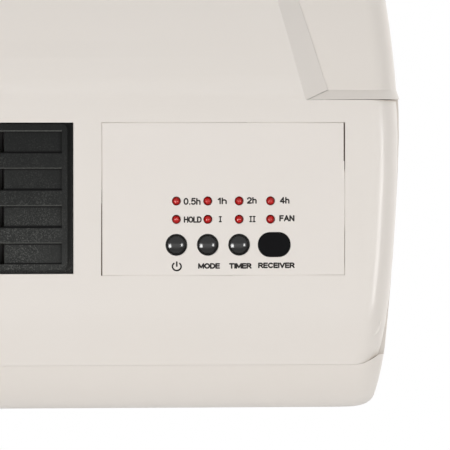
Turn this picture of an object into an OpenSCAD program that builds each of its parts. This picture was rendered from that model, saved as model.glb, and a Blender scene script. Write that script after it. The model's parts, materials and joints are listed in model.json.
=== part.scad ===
/* [Body] */
// Overall width of the heater
body_w = 450; // [430:1:520]
// Overall height of the heater
body_h = 190; // [186:1:215]
// Depth from the wall to the front face
body_d = 118; // [114:1:135]
// Wall thickness of the housings
wall_t = 2.4; // [1.8:0.1:3]
// Height above the bottom edge where the body is widest
belly_z = 100; // [90:1:106]
// How much narrower each side is at the bottom edge
belly_low = 7.4; // [3:0.1:9]
// How much narrower each side is at the top edge
belly_top = 10.1; // [8:0.1:20]
// Power of the curve by which the sides narrow
belly_bend = 1.55; // [1.3:0.05:2]
// Radius that rounds the front face into the sides
edge_r = 9; // [6:0.5:12]
// Radius of the lower corners seen from the front
low_corner_r = 5; // [4:0.5:10]
// Radius of the upper corners seen from the front
high_corner_r = 10; // [6:0.5:14]
// Radius that rounds the front face into the underside
belly_r = 40; // [34:1:44]
// Height at which the front starts to lean back
lean_z = 97.4; // [85:0.1:100]
// Radius of the upper front as it leans back
lean_r = 150; // [140:1:200]
// Radius between the upper front and the top
top_r = 14; // [8:0.5:18]
// Radius of the edges along the wall
back_r = 4; // [2:0.5:6]

/* [Front cover] */
// Height of the front cover's lower edge
cover_foot_z = 16.7; // [14:0.1:20]
// How far the cover's lower edge turns up at its ends
foot_rise = 3.2; // [0.5:0.1:5]
// Length over which it turns up
foot_run = 9; // [6:0.5:20]
// Height of the shoulder where the full width ends
shoulder_z = 110.1; // [107:0.1:114]
// Radius of the cover's corners at the shoulder
shoulder_r = 1.3; // [1:0.1:6]
// Height of the sloping ledge above the shoulder
ledge_h = 3.3; // [2:0.1:5]
// Depth of the wings behind the raised hood
wing_drop = 4.5; // [3:0.1:6]
// How much narrower the body is above the ledge, on each side
wing_in = 0.35; // [0:0.05:1]
// Width of the wing on each side of the hood at the shoulder
wing_w = 25.2; // [20:0.1:34]
// Lean of the hood's edges towards the middle, in degrees
hood_lean = 14.7; // [8:0.1:20]
// Lean of the foot of the hood's flanks, in degrees
flank_lean = 16.9; // [8:0.1:22]
// Width of the bevel down each flank at the shoulder
bevel_w = 9.3; // [5:0.1:11]
// Distance between the hood's end and the heater's top
hood_down = 14; // [12:1:25]
// Length of the bevel at the top of the hood
hood_top_bevel = 4; // [2:0.5:6]
// Depth of the front cover's sides
cover_side_d = 13; // [12:0.5:20]
// Depth at which the cover's bosses meet the housing's posts
boss_d = 18; // [16:0.5:24]
// How far the rear housing's rim stands out past the cover at the least
rim_show = 0.5; // [0.3:0.1:1]
// How much further it stands out at the shoulder
rim_more = 0.9; // [0:0.1:1.4]
// How much further it stands out at the cover's lower edge
rim_low = 1.6; // [0:0.1:2]
// Height at which the rim stands out least
rim_mid_z = 57.5; // [40:0.5:80]
// Gap along the seam between the housings
seam_gap = 0.2; // [0.1:0.05:0.4]

/* [Air outlet] */
// Distance between the outlet and the heater's left side
outlet_margin = 28; // [24:0.5:40]
// Height of the outlet opening
outlet_h = 52.8; // [46:0.1:53]
// Distance between the outlet and the control panel
outlet_gap = 9.75; // [8:0.05:14]
// Height of the outlet's lower edge
outlet_z = 49.2; // [46:0.1:51]
// Number of bars across the outlet
bar_count = 3; // [2:1:4]
// Height of one bar
bar_h = 5.8; // [4:0.1:7]
// Depth of a bar from front to back
bar_d = 7; // [5:0.5:10]
// Set-back of the grille's face behind the cover
grille_set_back = 1; // [0.5:0.1:2]
// Width of the upright at each end of the bars
stile_w = 1.9; // [1.5:0.1:3]
// Height of the rail above the bars
top_rail_h = 2.6; // [2:0.1:4]
// Height of the rail below the bars
low_rail_h = 2; // [1.6:0.1:4]
// Width of the lower step round the ends of the grille's face
step_side_w = 2.1; // [1:0.1:3]
// Height of the lower step under the grille's face
step_low_h = 1.4; // [0.6:0.1:2]
// Height of the lower step over the grille's face
step_high_h = 0.5; // [0.3:0.1:1]
// Depth of that step
step_d = 3; // [2:0.1:4]
// Length of the closed stretch at each end of a slot
blind_w = 19.6; // [12:0.2:26]
// Set-back of the closed stretches behind the bars
blind_set_back = 1.3; // [0.8:0.1:2]
// Number of upright ribs behind the bars
rib_count = 5; // [3:1:8]

/* [Control panel] */
// Width of the control panel
panel_w = 85.4; // [80:0.1:90]
// Height of the control panel
panel_h = 53.6; // [50:0.1:55]
// Distance between the control panel and the heater's side
panel_margin = 20.6; // [18.6:0.1:24]
// Height of the middle of the control panel
panel_z = 75.3; // [73:0.1:77]
// Thickness of the control panel
panel_t = 2.2; // [1.8:0.1:3]
// Gap round the control panel
panel_gap = 0.25; // [0.15:0.05:0.4]
// Distance between the columns of lights and buttons
key_pitch = 11; // [10:0.1:12]
// Diameter of a light
led_d = 3; // [2.6:0.1:3.4]
// Distance between the two rows of lights
led_row_pitch = 6.4; // [5.5:0.1:7]
// Height of the upper row of lights above the panel's middle
led_row_up = -0.7; // [-1.5:0.1:1]
// Diameter of a button
key_d = 7.3; // [6.4:0.1:8]
// Gap round a button in its hole
key_gap = 0.2; // [0.15:0.05:0.3]
// Distance of the buttons below the panel's middle
key_down = 16; // [15:0.1:17]
// How far a button moves when pressed
key_travel = 0.8; // [0.5:0.1:1.2]
// Width of the receiver window
window_w = 11.6; // [10:0.1:13]
// Height of the receiver window
window_h = 8.8; // [7.5:0.1:9]
// Distance of the receiver window to the right of the panel's middle
window_side = 17.8; // [16:0.1:20]

/* [Blower] */
// Diameter of the blower wheel
wheel_d = 60; // [54:1:62]
// Number of blades round the wheel
blade_count = 30; // [20:1:36]
// Thickness of one blade
blade_t = 0.9; // [0.7:0.1:1.2]
// Radial height of one blade
blade_h = 6.2; // [5:0.1:8]
// Number of discs that hold the blades
disc_count = 5; // [3:1:7]
// Distance of the wheel's axis from the wall
wheel_y = 56; // [54:0.5:58]
// Height of the wheel's axis above the outlet's upper edge
wheel_rise = 26; // [24:0.5:29]
// Gap between the wheel and the duct's ends
wheel_end_gap = 4; // [3:0.5:6]
// Diameter of the motor shaft
shaft_d = 6; // [5:0.5:8]
// Radial clearance of the shaft in its bearings
running_gap = 0.05; // [0.03:0.01:0.08]

/* [Air inlet] */
// Distance between the inlet's ends and the heater's sides
intake_margin = 55; // [45:1:80]
// Distance between the inlet and the curve of the top's front edge
intake_front = 5.4; // [4:0.1:10]
// Distance between the inlet and the wall
intake_back = 18; // [14:1:24]
// Thickness of the inlet grille
intake_t = 4; // [3:0.5:5]
// Number of slats in the inlet grille
slat_count = 6; // [3:1:8]
// Thickness of one slat
slat_t = 1.6; // [1.2:0.1:2]

/* [Air duct] */
// Radius of the curved back of the duct
scroll_r = 44; // [43:0.5:46]
// Wall thickness of the duct
duct_t = 2; // [1.6:0.1:2.6]
// Radius of the tongue's nose
nose_r = 3; // [2:0.1:4]
// Gap between the tongue and the blower wheel
tongue_gap = 3.5; // [2:0.5:6]
// Gap between the wheel and the wall in front of it
front_gap = 4; // [3:0.5:7]
// Gap between that wall's upper edge and the front cover
inlet_gap = 8; // [6:0.5:12]

/* [Heating element] */
// Depth of the heating element from front to back
heater_d = 14; // [10:0.5:18]
// Number of ceramic tubes in the element
tube_count = 3; // [2:1:4]
// Height of one tube
tube_h = 5; // [4:0.1:6]
// Distance between the folds of the fins
fin_pitch = 4; // [3:0.1:6]
// Thickness of the fin strip
fin_t = 0.4; // [0.3:0.05:0.6]
// Distance of the element behind the grille
heater_back = 8; // [6:0.5:12]
// Diameter of the thermal cut-out
cutout_d = 14; // [10:0.5:17]
// Height of the thermal cut-out's body
cutout_h = 6; // [4:0.5:8]
// Distance of the thermal cut-out from the duct's end
cutout_side = 60; // [30:1:100]
// Diameter of the thermal fuse
fuse_d = 4; // [3:0.1:5]
// Length of the thermal fuse
fuse_len = 12; // [9:0.5:15]

/* [Motor] */
// Thickness of the stator stack
stack_t = 18; // [14:0.5:22]
// Width of the stator stack
stack_w = 52; // [46:1:54]
// Height of the stator stack
stack_h = 58; // [54:1:62]
// Diameter of the rotor
rotor_d = 30; // [26:1:32]
// Gap between rotor and stator
air_gap = 0.5; // [0.4:0.05:0.8]
// Thickness of the frames at both ends of the motor
frame_t = 2.5; // [2:0.1:3.5]
// Diameter of the motor's two screws
motor_screw_d = 3; // [2.5:0.1:4]

/* [Electronics] */
// Thickness of the circuit boards
board_t = 1.6; // [1.2:0.1:2]
// Depth of the control board behind the panel's face
board_back = 12.5; // [11.5:0.5:15]
// Width of the power board
power_board_w = 66; // [60:1:68]
// Height of the power board
power_board_h = 84; // [70:1:86]
// Distance of the power board from the wall
power_board_y = 22; // [18:0.5:26]
// Height of the power board's middle
power_board_z = 82; // [74:1:90]
// Width of a relay
relay_w = 18; // [15:0.5:20]
// Height of a relay above its board
relay_d = 15; // [12:0.5:18]
// Width of the film capacitor
film_w = 18; // [13:0.5:20]
// Diameter of the round capacitor
can_d = 10; // [8:0.5:12]
// Height of the round capacitor above its board
can_h = 16; // [12:0.5:20]
// Width of the ribbon cable
ribbon_w = 14; // [8:0.5:16]
// Thickness of the ribbon cable
ribbon_t = 1; // [0.8:0.1:1.4]
// Width of the terminal block
terminal_w = 30; // [24:0.5:32]
// Height of the terminal block above its board
terminal_d = 14; // [10:0.5:16]
// Diameter of the opening in the cord grommet
cord_hole_d = 7.4; // [6:0.1:9]
// Distance of the cord inlet from the heater's side
cord_side = 40; // [30:1:60]
// Height of the cord inlet
cord_z = 22; // [18:0.5:30]
// Diameter of the small screws' threads
screw_d = 2.36; // [2:0.02:2.6]

/* [Wall bracket] */
// Width of the wall bracket
bracket_w = 210; // [200:1:230]
// Height of the wall bracket
bracket_h = 36; // [34:1:40]
// Thickness of the wall bracket
bracket_t = 1.5; // [1.2:0.1:2]
// Distance of the bracket's middle below the heater's top
hang_down = 43; // [38:1:46]
// Distance between the wall screws across the bracket
screw_pitch_x = 180; // [160:1:184]
// Distance between the rows of wall screws
screw_pitch_z = 20; // [16:0.5:24]
// Diameter of the holes for the wall screws
screw_hole_d = 5; // [4:0.1:6]
// Distance of each hook from the middle
hook_x = 60; // [45:1:70]
// Width of a hook
hook_w = 18; // [14:1:24]

/* [Hidden] */
$fn = 48;
eps = 0.01;
far = 400;
rest_gap = 0.3;

// Plain shapes
module block(low, high) translate(low) cube(high - low);
module run_x(x0, x1) translate([x0, 0, 0]) rotate([90, 0, 90]) linear_extrude(x1 - x0) children();
module run_y(y0, y1) translate([0, y1, 0]) rotate([90, 0, 0]) linear_extrude(y1 - y0) children();
module rod_x(x0, x1, y, z, d) translate([x0, y, z]) rotate([0, 90, 0]) cylinder(h = x1 - x0, d = d);
module rod_y(y0, y1, x, z, d) translate([x, y1, z]) rotate([90, 0, 0]) cylinder(h = y1 - y0, d = d);
module hung() translate([0, 0, -hang_z]) children();
module both_sides() {
    children();
    mirror([1, 0, 0]) children();
}
module round_rect(w, h, r) {
    square([w - 2 * r, h], center = true);
    square([w, h - 2 * r], center = true);
    for (sx = [-1, 1], sz = [-1, 1])
        translate([sx * (w / 2 - r), sz * (h / 2 - r)]) circle(r);
}

// Outline of the body seen from the side and from the front
front_y = -body_d;
seam_y = front_y + cover_side_d;
joint_y = front_y + boss_d;
hang_z = body_h - hang_down;
wing_r = lean_r - wing_drop;
lean_y = front_y + lean_r;
top_turn = asin((body_h - lean_z - top_r) / (wing_r - top_r));
top_arc = [lean_y - (wing_r - top_r) * cos(top_turn), body_h - top_r];
function drop_at(z) = wing_drop * min(max((z - shoulder_z) / ledge_h, 0), 1);
function arc_y(c, r, z) = c[0] - sqrt(max(r * r - (z - c[1]) * (z - c[1]), 0));
function face_y(z, inset, drop) =
    z < belly_r ? arc_y([front_y + belly_r, belly_r], belly_r - inset, z)
    : z < lean_z ? front_y + inset
    : z < lean_z + (wing_r - inset) * sin(top_turn)
        ? arc_y([lean_y, lean_z], lean_r - inset - drop, z)
    : arc_y(top_arc, top_r - inset, z);
function rounding(r, dist) = dist >= r ? 0 : r - sqrt(max(r * r - (r - dist) * (r - dist), 0));
function belly_in(z) = z < belly_z ? belly_low * pow(1 - z / belly_z, belly_bend)
    : belly_top * pow((z - belly_z) / (body_h - belly_z), belly_bend);
function half_w(z, inset) = body_w / 2 - belly_in(z) - inset - wing_in * drop_at(z) / wing_drop
    - rounding(low_corner_r - inset, z - inset)
    - rounding(high_corner_r - inset, body_h - inset - z);
function back_y(z, inset) = -inset - rounding(back_r - min(inset, back_r / 2), z - inset)
    - rounding(back_r - min(inset, back_r / 2), body_h - inset - z);

// One level slice through the body, anticlockwise from above
edge_steps = 9;
function corner(x, y, r, a0, steps, z) =
    [for (i = [0 : steps]) [x + r * cos(a0 + 90 * i / steps), y + r * sin(a0 + 90 * i / steps), z]];
function slice(z, w, y0, y1, rf, rb) = concat(
    corner(-w + rf, y0 + rf, rf, 180, edge_steps, z), corner(w - rf, y0 + rf, rf, 270, edge_steps, z),
    corner(w - rb, y1 - rb, rb, 0, 2, z), corner(-w + rb, y1 - rb, rb, 90, 2, z));
module loft(rows, closed_ring = true) {
    n = len(rows[0]);
    last = (len(rows) - 1) * n;
    sides = [for (r = [0 : len(rows) - 2], i = [0 : n - 1]) let (
        a = r * n + i,
        b = r * n + (i + 1) % n) each [[a, a + n, b + n], [a, b + n, b]]];
    half = n / 2;
    caps = closed_ring
        ? [[for (i = [0 : n - 1]) i], [for (i = [n - 1 : -1 : 0]) last + i]]
        : [for (i = [0 : half - 2]) each [
            [i, i + 1, n - 2 - i, n - 1 - i],
            [last + n - 1 - i, last + n - 2 - i, last + i + 1, last + i]]];
    polyhedron(points = [for (r = rows) each r], faces = concat(sides, caps), convexity = 8);
}

// Heights of the slices: close together in the curves, far apart on the flats
low_levels = [for (a = [0 : 15 : 90]) low_corner_r * (1 - cos(a))];
belly_levels = [for (a = [30 : 6 : 90]) belly_r * (1 - cos(a))];
top_levels = [for (a = [0 : 0.2 : 1.01]) top_arc[1] + top_r * sin(top_turn + (90 - top_turn) * a)];
lean_count = 12;
lean_step = (top_levels[0] - shoulder_z - ledge_h) / lean_count;
lean_levels = [for (i = [0 : lean_count - 1]) shoulder_z + ledge_h + i * lean_step];
flat_levels = [for (i = [1 : 4]) belly_r + (lean_z - belly_r) * i / 4];
body_levels = concat(low_levels, [for (z = belly_levels) if (z > low_corner_r + 1) z],
    flat_levels, [shoulder_z - 4, shoulder_z], lean_levels, top_levels);
function squeeze(z, inset) = inset + (z * (body_h - 2 * inset)) / body_h;
module body_form(inset) loft([for (level = body_levels) let (z = squeeze(level, inset))
    slice(z, half_w(z, inset), face_y(z, inset, drop_at(z)), back_y(z, inset), edge_r - inset,
        max(back_r - inset, 1))]);

// The raised hood
hood_half_w = body_w / 2 - wing_w - bevel_w;
hood_top_z = body_h - hood_down;
function hood_in(z) = hood_half_w - (z - shoulder_z) * tan(hood_lean);
function hood_out(z) = hood_half_w + bevel_w - (z - shoulder_z) * tan(flank_lean);

// Where things sit
panel_x = body_w / 2 - panel_margin - panel_w / 2;
outlet_x1 = panel_x - panel_w / 2 - outlet_gap;
outlet_x0 = outlet_margin - body_w / 2;
outlet_w = outlet_x1 - outlet_x0;
outlet_x = (outlet_x0 + outlet_x1) / 2;
outlet_top = outlet_z + outlet_h;
duct_x0 = outlet_x0 + step_side_w + stile_w + blind_w;
duct_x1 = outlet_x1 - step_side_w - stile_w - blind_w;
grille_y = front_y + grille_set_back;
grille_back_y = grille_y + step_d + bar_d;
axis_y = -wheel_y;
wheel_z = outlet_top + wheel_rise;
wheel_x0 = duct_x0 + wheel_end_gap;
wheel_x1 = duct_x1 - wheel_end_gap;
post_d = 9;
post_x = body_w / 2 - post_d - 3;
post_levels = [cover_foot_z + 1.6 * post_d, shoulder_z - 1.2 * post_d];
post_screw_d = 2.56;
post_hole_d = 3.4;
post_thread = 10;
head_y = joint_y + 14;
key_columns = [-1.5, -0.5, 0.5];
led_columns = [-1.5, -0.5, 0.5, 1.5];
function column_x(c) = panel_x + c * key_pitch;
panel_back_y = front_y + panel_t;
board_y = front_y + board_back;
key_z = panel_z - key_down;
key_flange_t = 1;
key_flange_w = 0.9;
window_x = panel_x + window_side;

// Housings
cover_top = hood_top_z + hood_top_bevel;
cover_rim_z = shoulder_z - seam_gap;
function cover_end(z, w, y, r, y_end) = let (
    cut = asin(min(max((y + r - y_end) / r, 0), 0.98)),
    n = cut > 0 ? edge_steps + 1 : edge_steps,
    arc = [for (i = [0 : n]) let (a = cut + (90 - cut) * i / n)
        [-w + r - r * cos(a), y + r - r * sin(a), z]]) cut > 0 ? arc : concat([[-w, y_end, z]], arc);
function mirrored(path) = [for (i = [len(path) - 1 : -1 : 0]) [-path[i][0], path[i][1], path[i][2]]];
function cover_path(z, w, y, r, y_end) = let (end = cover_end(z, w, y, r, y_end))
    concat(end, mirrored(end));
function hood_path(z, xi, xo, y, y_foot) = concat(
    [for (i = [0 : edge_steps + 1]) let (t = i / (edge_steps + 1))
        [-xo + (xo - xi) * t, y_foot + (y - y_foot) * t, z]],
    [for (i = [0 : edge_steps + 1]) let (t = i / (edge_steps + 1))
        [xi + (xo - xi) * t, y + (y_foot - y) * t, z]]);
function turned(path) = [for (i = [len(path) - 1 : -1 : 0]) path[i]];
function rim_at(z) = rim_show + (z > rim_mid_z ? rim_more * pow((z - rim_mid_z) / (shoulder_z - rim_mid_z), 2)
    : rim_low * pow((rim_mid_z - z) / (rim_mid_z - cover_foot_z), 2));
function cover_half_w(z) = half_w(z, 0) - rim_at(z) - rounding(shoulder_r, cover_rim_z - z);
function full_outer(z) = cover_path(z, cover_half_w(z), face_y(z, 0, 0), edge_r, seam_y - seam_gap);
function full_inner(z) = cover_path(z, cover_half_w(z) - wall_t, face_y(z, wall_t, 0), edge_r - wall_t,
    seam_y - seam_gap);
function ledge_part(z) = min(max((z - shoulder_z) / ledge_h, 0.04), 1);
function hood_foot_x(z) = hood_in(z) + (hood_out(z) - hood_in(z)) * ledge_part(z);
function hood_foot_y(z) = face_y(z, 0, wing_drop * ledge_part(z)) - seam_gap * ledge_part(z);
function hood_outer(z) = hood_path(z, hood_in(z), hood_foot_x(z), face_y(z, 0, 0), hood_foot_y(z));
function hood_inner(z) = hood_path(z, hood_in(z) - wall_t / 2,
    max(hood_foot_x(z) - wall_t * 1.8, hood_in(z) - wall_t / 2 + eps), face_y(z, 0, 0) + wall_t,
    max(hood_foot_y(z), face_y(z, 0, 0) + wall_t + eps));
function hood_tip(z, lift) = hood_path(z, hood_in(z), hood_out(z) - bevel_w * 0.2,
    face_y(z, 0, wing_drop) - seam_gap - lift, face_y(z, 0, wing_drop) - seam_gap);
cover_base_z = cover_foot_z + seam_gap;
foot_turn_x = cover_half_w(cover_base_z) - foot_run;
function foot_lift(x) = foot_rise * pow(min(max(abs(x) - foot_turn_x, 0) / foot_run, 1), 2);
function foot_row(row) = let (flat = row(cover_base_z)) [for (i = [0 : len(flat) - 1])
    let (near = row(cover_base_z + foot_lift(flat[i][0]))[i])
    row(cover_base_z + foot_lift(near[0]))[i]];
foot_outer = foot_row(function(z) full_outer(z));
foot_inner = foot_row(function(z) full_inner(z));
cover_levels = concat([for (z = belly_levels) if (z > cover_foot_z + foot_rise + 1) z], flat_levels,
    [for (i = [1 : 3]) lean_z + (cover_rim_z - 2 * wall_t - lean_z) * i / 3]);
hood_levels = concat([for (z = lean_levels) if (z < hood_top_z - 1) z], [hood_top_z]);
shoulder_levels = concat([cover_rim_z - wall_t + eps],
    [for (a = [75 : -15 : 0]) let (fall = shoulder_r * (1 - cos(a)))
        if (fall < wall_t - 0.1) cover_rim_z - fall]);
module cover_form() loft(concat(
    [concat(foot_outer, turned(foot_inner))],
    [for (z = concat(cover_levels, [cover_rim_z - wall_t])) concat(full_outer(z), turned(full_inner(z)))],
    [for (z = shoulder_levels) concat(full_outer(z), turned(hood_inner(z)))],
    [concat(hood_outer(cover_rim_z + eps), turned(hood_inner(cover_rim_z + eps)))],
    [for (z = hood_levels) concat(hood_outer(z), turned(hood_inner(z)))],
    [concat(hood_tip(cover_top, 0.5), turned(hood_tip(cover_top, 0)))]), false);
module cover_bosses() both_sides()
    for (z = post_levels) rod_y(face_y(z - post_d / 2, wall_t / 2, 0), joint_y - seam_gap, post_x, z, post_d);
module cover_pilots() both_sides()
    for (z = post_levels) rod_y(joint_y - post_thread - 2, joint_y + 1, post_x, z, post_screw_d + 0.04);
module front_cover() color("#e8e2dc") hung() difference() {
    union() {
        cover_form();
        cover_bosses();
    }
    cover_pilots();
    run_y(front_y - 5, front_y + 2 * wall_t) translate([outlet_x, outlet_z + outlet_h / 2])
        square([outlet_w, outlet_h], center = true);
    run_y(front_y - 5, front_y + 2 * wall_t) translate([panel_x, panel_z])
        square([panel_w, panel_h], center = true);
}

pocket_w = bracket_w + 6;
pocket_z0 = hang_z - bracket_h / 2 - 4;
pocket_z1 = hang_z + bracket_h / 2 + 8;
pocket_d = 7;
hook_tab_t = bracket_t;
hook_z = hang_z + 4;
hook_reach = pocket_d + wall_t + 3;
intake_w = body_w - 2 * intake_margin;
intake_y0 = top_arc[0] + intake_front;
intake_y1 = -intake_back;
intake_y = (intake_y0 + intake_y1) / 2;
intake_d = intake_y1 - intake_y0;
grommet_x = body_w / 2 - cord_side;
grommet_d = cord_hole_d + 5;
duct_foot_x = [duct_x0 + 20, duct_x1 - 20];
duct_post_y = -11;
duct_foot_z = wheel_z - 10;
power_board_x = post_x - post_d / 2 - 1.5 - power_board_w / 2;
power_post_x = power_board_w / 2 - 5;
power_post_z = power_board_h / 2 - 5;
module housing_posts() {
    both_sides() for (z = post_levels) rod_y(joint_y, -1, post_x, z, post_d);
    for (x = duct_foot_x) rod_y(duct_post_y, -1, x, duct_foot_z, 8);
    for (sx = [-1, 1], sz = [-1, 1]) rod_y(-power_board_y, -1,
        power_board_x + sx * power_post_x, power_board_z + sz * power_post_z, 6);
}
module housing_bores() {
    both_sides() for (z = post_levels) {
        rod_y(head_y, 1, post_x, z, 7.2);
        rod_y(joint_y - 1, head_y + 1, post_x, z, post_hole_d);
    }
    for (x = duct_foot_x) rod_y(duct_post_y - 1, -3, x, duct_foot_z, screw_d + 0.04);
    for (sx = [-1, 1], sz = [-1, 1]) rod_y(-power_board_y - 1, -4,
        power_board_x + sx * power_post_x, power_board_z + sz * power_post_z, 2.2);
    rod_y(-wall_t - 1, 1, grommet_x, cord_z, grommet_d);
}
ledge_top = shoulder_z + ledge_h;
hood_cut_gap = 2 * seam_gap;
hood_cut_x = hood_foot_x(cover_rim_z) + hood_cut_gap;
hood_cut = [[hood_cut_x, shoulder_z - 1], [hood_cut_x, shoulder_z],
    [hood_out(ledge_top) + hood_cut_gap, ledge_top], [hood_out(ledge_top) - 8, ledge_top + 0.5],
    [hood_in(hood_top_z) - 6, hood_top_z - 8]];
module hood_opening() polygon(concat(hood_cut, [for (i = [len(hood_cut) - 1 : -1 : 0])
    [-hood_cut[i][0], hood_cut[i][1]]]));
foot_turn = [for (i = [0 : 8]) foot_turn_x + foot_run * i / 8];
module cover_opening() both_sides() polygon(concat([[-eps, shoulder_z], [-eps, cover_foot_z]],
    [for (x = foot_turn) [x, cover_foot_z + foot_lift(x)]],
    [[far, cover_foot_z + foot_rise], [far, shoulder_z]]));
module rear_housing() color("#e4ded6") hung() difference() {
    union() {
        difference() {
            body_form(0);
            body_form(wall_t);
            run_y(-far, seam_y) cover_opening();
            run_y(-far, -wheel_y - 10) hood_opening();
            block([-intake_w / 2, intake_y0, body_h - 10], [intake_w / 2, intake_y1, body_h + 1]);
        }
        housing_posts();
        block([-pocket_w / 2 - wall_t, -pocket_d - wall_t, pocket_z0 - wall_t],
            [pocket_w / 2 + wall_t, -0.5, pocket_z1 + wall_t]);
    }
    housing_bores();
    block([-pocket_w / 2, -pocket_d, pocket_z0], [pocket_w / 2, 1, pocket_z1]);
    both_sides() block([hook_x - hook_w / 2 - 2, -pocket_d - wall_t - 1, hook_z - 11],
        [hook_x + hook_w / 2 + 2, -pocket_d + 1, hook_z + hook_tab_t + 0.1]);
}

// Air inlet in the top
intake_rim = 3;
intake_low = body_h - wall_t - intake_t;
module intake_slat() polygon([[-1, 0], [slat_t - 1, 0], [slat_t + 1, intake_t], [1, intake_t]]);
module intake_grille() color("#e2dcd4") hung() {
    low = body_h - intake_t;
    inner = intake_d - 2 * intake_rim - 2 * seam_gap;
    pitch = inner / slat_count;
    difference() {
        union() {
            block([-intake_w / 2 + seam_gap, intake_y0 + seam_gap, low],
                [intake_w / 2 - seam_gap, intake_y1 - seam_gap, body_h]);
            block([-intake_w / 2 - 3, intake_y0 - 3, intake_low],
                [intake_w / 2 + 3, intake_y1 + 3, body_h - wall_t - 0.05]);
        }
        block([-intake_w / 2 + intake_rim, intake_y0 + intake_rim + seam_gap, intake_low - 1],
            [intake_w / 2 - intake_rim, intake_y1 - intake_rim - seam_gap, body_h + 1]);
    }
    for (i = [0.5 : 1 : slat_count - 0.5])
        translate([0, intake_y0 + seam_gap + intake_rim + i * pitch, low])
            run_x(-intake_w / 2 + intake_rim - eps, intake_w / 2 - intake_rim + eps) intake_slat();
    for (i = [-3 : 3])
        block([i * intake_w / 8 - 1, intake_y0 + intake_rim, intake_low],
            [i * intake_w / 8 + 1, intake_y1 - intake_rim, low + 1]);
}

// Black grille of the air outlet
face_w = outlet_w - 2 * step_side_w;
face_h = outlet_h - step_low_h - step_high_h;
face_z0 = outlet_z + step_low_h;
field_w = face_w - 2 * stile_w;
field_z0 = face_z0 + low_rail_h;
field_h = face_h - low_rail_h - top_rail_h;
slot_h = (field_h - bar_count * bar_h) / (bar_count + 1);
function bar_z(i) = field_z0 + i * (slot_h + bar_h) + slot_h;
module bar_section() {
    translate([0, 0.6]) square([bar_d, bar_h - 1.2]);
    translate([0.6, 0]) square([bar_d - 0.6, bar_h]);
    for (z = [0.6, bar_h - 0.6]) translate([0.6, z]) circle(0.6);
}
flange_w = 3;
grille_flange_y = face_y(outlet_top + flange_w, wall_t, 0) + rest_gap;
module outlet_grille() color("#313230") hung() {
    difference() {
        union() {
            run_y(grille_y, grille_back_y) translate([outlet_x, face_z0 + face_h / 2])
                round_rect(face_w, face_h, 2);
            run_y(grille_y + step_d, grille_back_y) translate([outlet_x, outlet_z + outlet_h / 2])
                square([outlet_w - 2 * seam_gap, outlet_h - 2 * seam_gap], center = true);
            run_y(grille_flange_y, grille_flange_y + 1.7) translate([outlet_x, outlet_z + outlet_h / 2])
                square([outlet_w + 2 * flange_w, outlet_h + 2 * flange_w], center = true);
        }
        block([outlet_x - field_w / 2, grille_y - 1, field_z0],
            [outlet_x + field_w / 2, grille_y + step_d + bar_d + 1, field_z0 + field_h]);
    }
    for (i = [0 : bar_count - 1]) translate([0, grille_y, bar_z(i)])
        run_x(outlet_x - field_w / 2 - eps, outlet_x + field_w / 2 + eps) bar_section();
    for (x = [outlet_x - field_w / 2 - eps, outlet_x + field_w / 2 - blind_w])
        block([x, grille_y + blind_set_back, field_z0 - eps],
            [x + blind_w + eps, grille_y + blind_set_back + 1.6, field_z0 + field_h + eps]);
    rib_step = (field_w - 2 * blind_w) / (rib_count + 1);
    for (i = [1 : rib_count])
        translate([outlet_x - field_w / 2 + blind_w + i * rib_step, 0, 0])
            block([-0.8, grille_y + 3, field_z0 - eps], [0.8, grille_back_y, field_z0 + field_h + eps]);
}

// Control panel and what it carries
led_z = [panel_z + led_row_up, panel_z + led_row_up - led_row_pitch];
board_w = panel_w - 4;
board_h = panel_h - 4;
board_post_x = board_w / 2 - 3.5;
board_post_z = board_h / 2 - 3.5;
led_hole_gap = 0.1;
panel_flange_w = 1.2;
panel_flange_y = face_y(panel_z + panel_h / 2 + panel_flange_w, wall_t, 0) + rest_gap;
module control_panel() color("#e6dfdb") hung() difference() {
    union() {
        run_y(front_y, panel_flange_y + eps) translate([panel_x, panel_z])
            square([panel_w - 2 * panel_gap, panel_h - 2 * panel_gap], center = true);
        run_y(panel_flange_y, panel_flange_y + 1.3) translate([panel_x, panel_z])
            square([panel_w + 2 * panel_flange_w, panel_h + 2 * panel_flange_w], center = true);
        for (sx = [-1, 1], sz = [-1, 1])
            rod_y(panel_back_y - 1, board_y, panel_x + sx * board_post_x, panel_z + sz * board_post_z, 5);
    }
    block([panel_x - panel_w / 2 + 6, panel_back_y, panel_z - panel_h / 2 + 3],
        [panel_x + panel_w / 2 - 6, panel_back_y + 3, panel_z + panel_h / 2 - 12]);
    for (c = led_columns, z = led_z) rod_y(front_y - 1, 0, column_x(c), z, led_d + 2 * led_hole_gap);
    for (c = key_columns) rod_y(front_y - 1, 0, column_x(c), key_z, key_d + 2 * key_gap);
    run_y(front_y - 1, panel_back_y + 1) translate([window_x, key_z]) round_rect(window_w, window_h, 3.6);
    for (sx = [-1, 1], sz = [-1, 1])
        rod_y(board_y - 6, board_y + 1, panel_x + sx * board_post_x, panel_z + sz * board_post_z, 2);
}
module receiver_window() color("#222120") hung() {
    run_y(front_y + 0.5, panel_back_y + 0.1) translate([window_x, key_z])
        round_rect(window_w - 0.2, window_h - 0.2, 3.5);
    run_y(panel_back_y + 0.05, panel_back_y + 1.2) translate([window_x, key_z])
        round_rect(window_w + 1.8, window_h + 1.8, 4);
}
module one_led(x, z) {
    bulb_y = front_y + 0.4 + led_d / 2;
    translate([x, bulb_y, z]) sphere(d = led_d);
    rod_y(bulb_y, panel_back_y + 1.6, x, z, led_d);
    rod_y(panel_back_y + 0.6, panel_back_y + 1.6, x, z, led_d + 0.7);
    for (s = [-1, 1]) block([x + s * 1.27 - 0.25, panel_back_y + 1, z - 0.25],
        [x + s * 1.27 + 0.25, board_y, z + 0.25]);
}
module status_leds() color("#c8281e") hung() for (c = led_columns, z = led_z) one_led(column_x(c), z);
key_back_y = panel_back_y + 0.1 + key_flange_t;
switch_h = 3.5;
plunger_y = board_y - switch_h;
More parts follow.
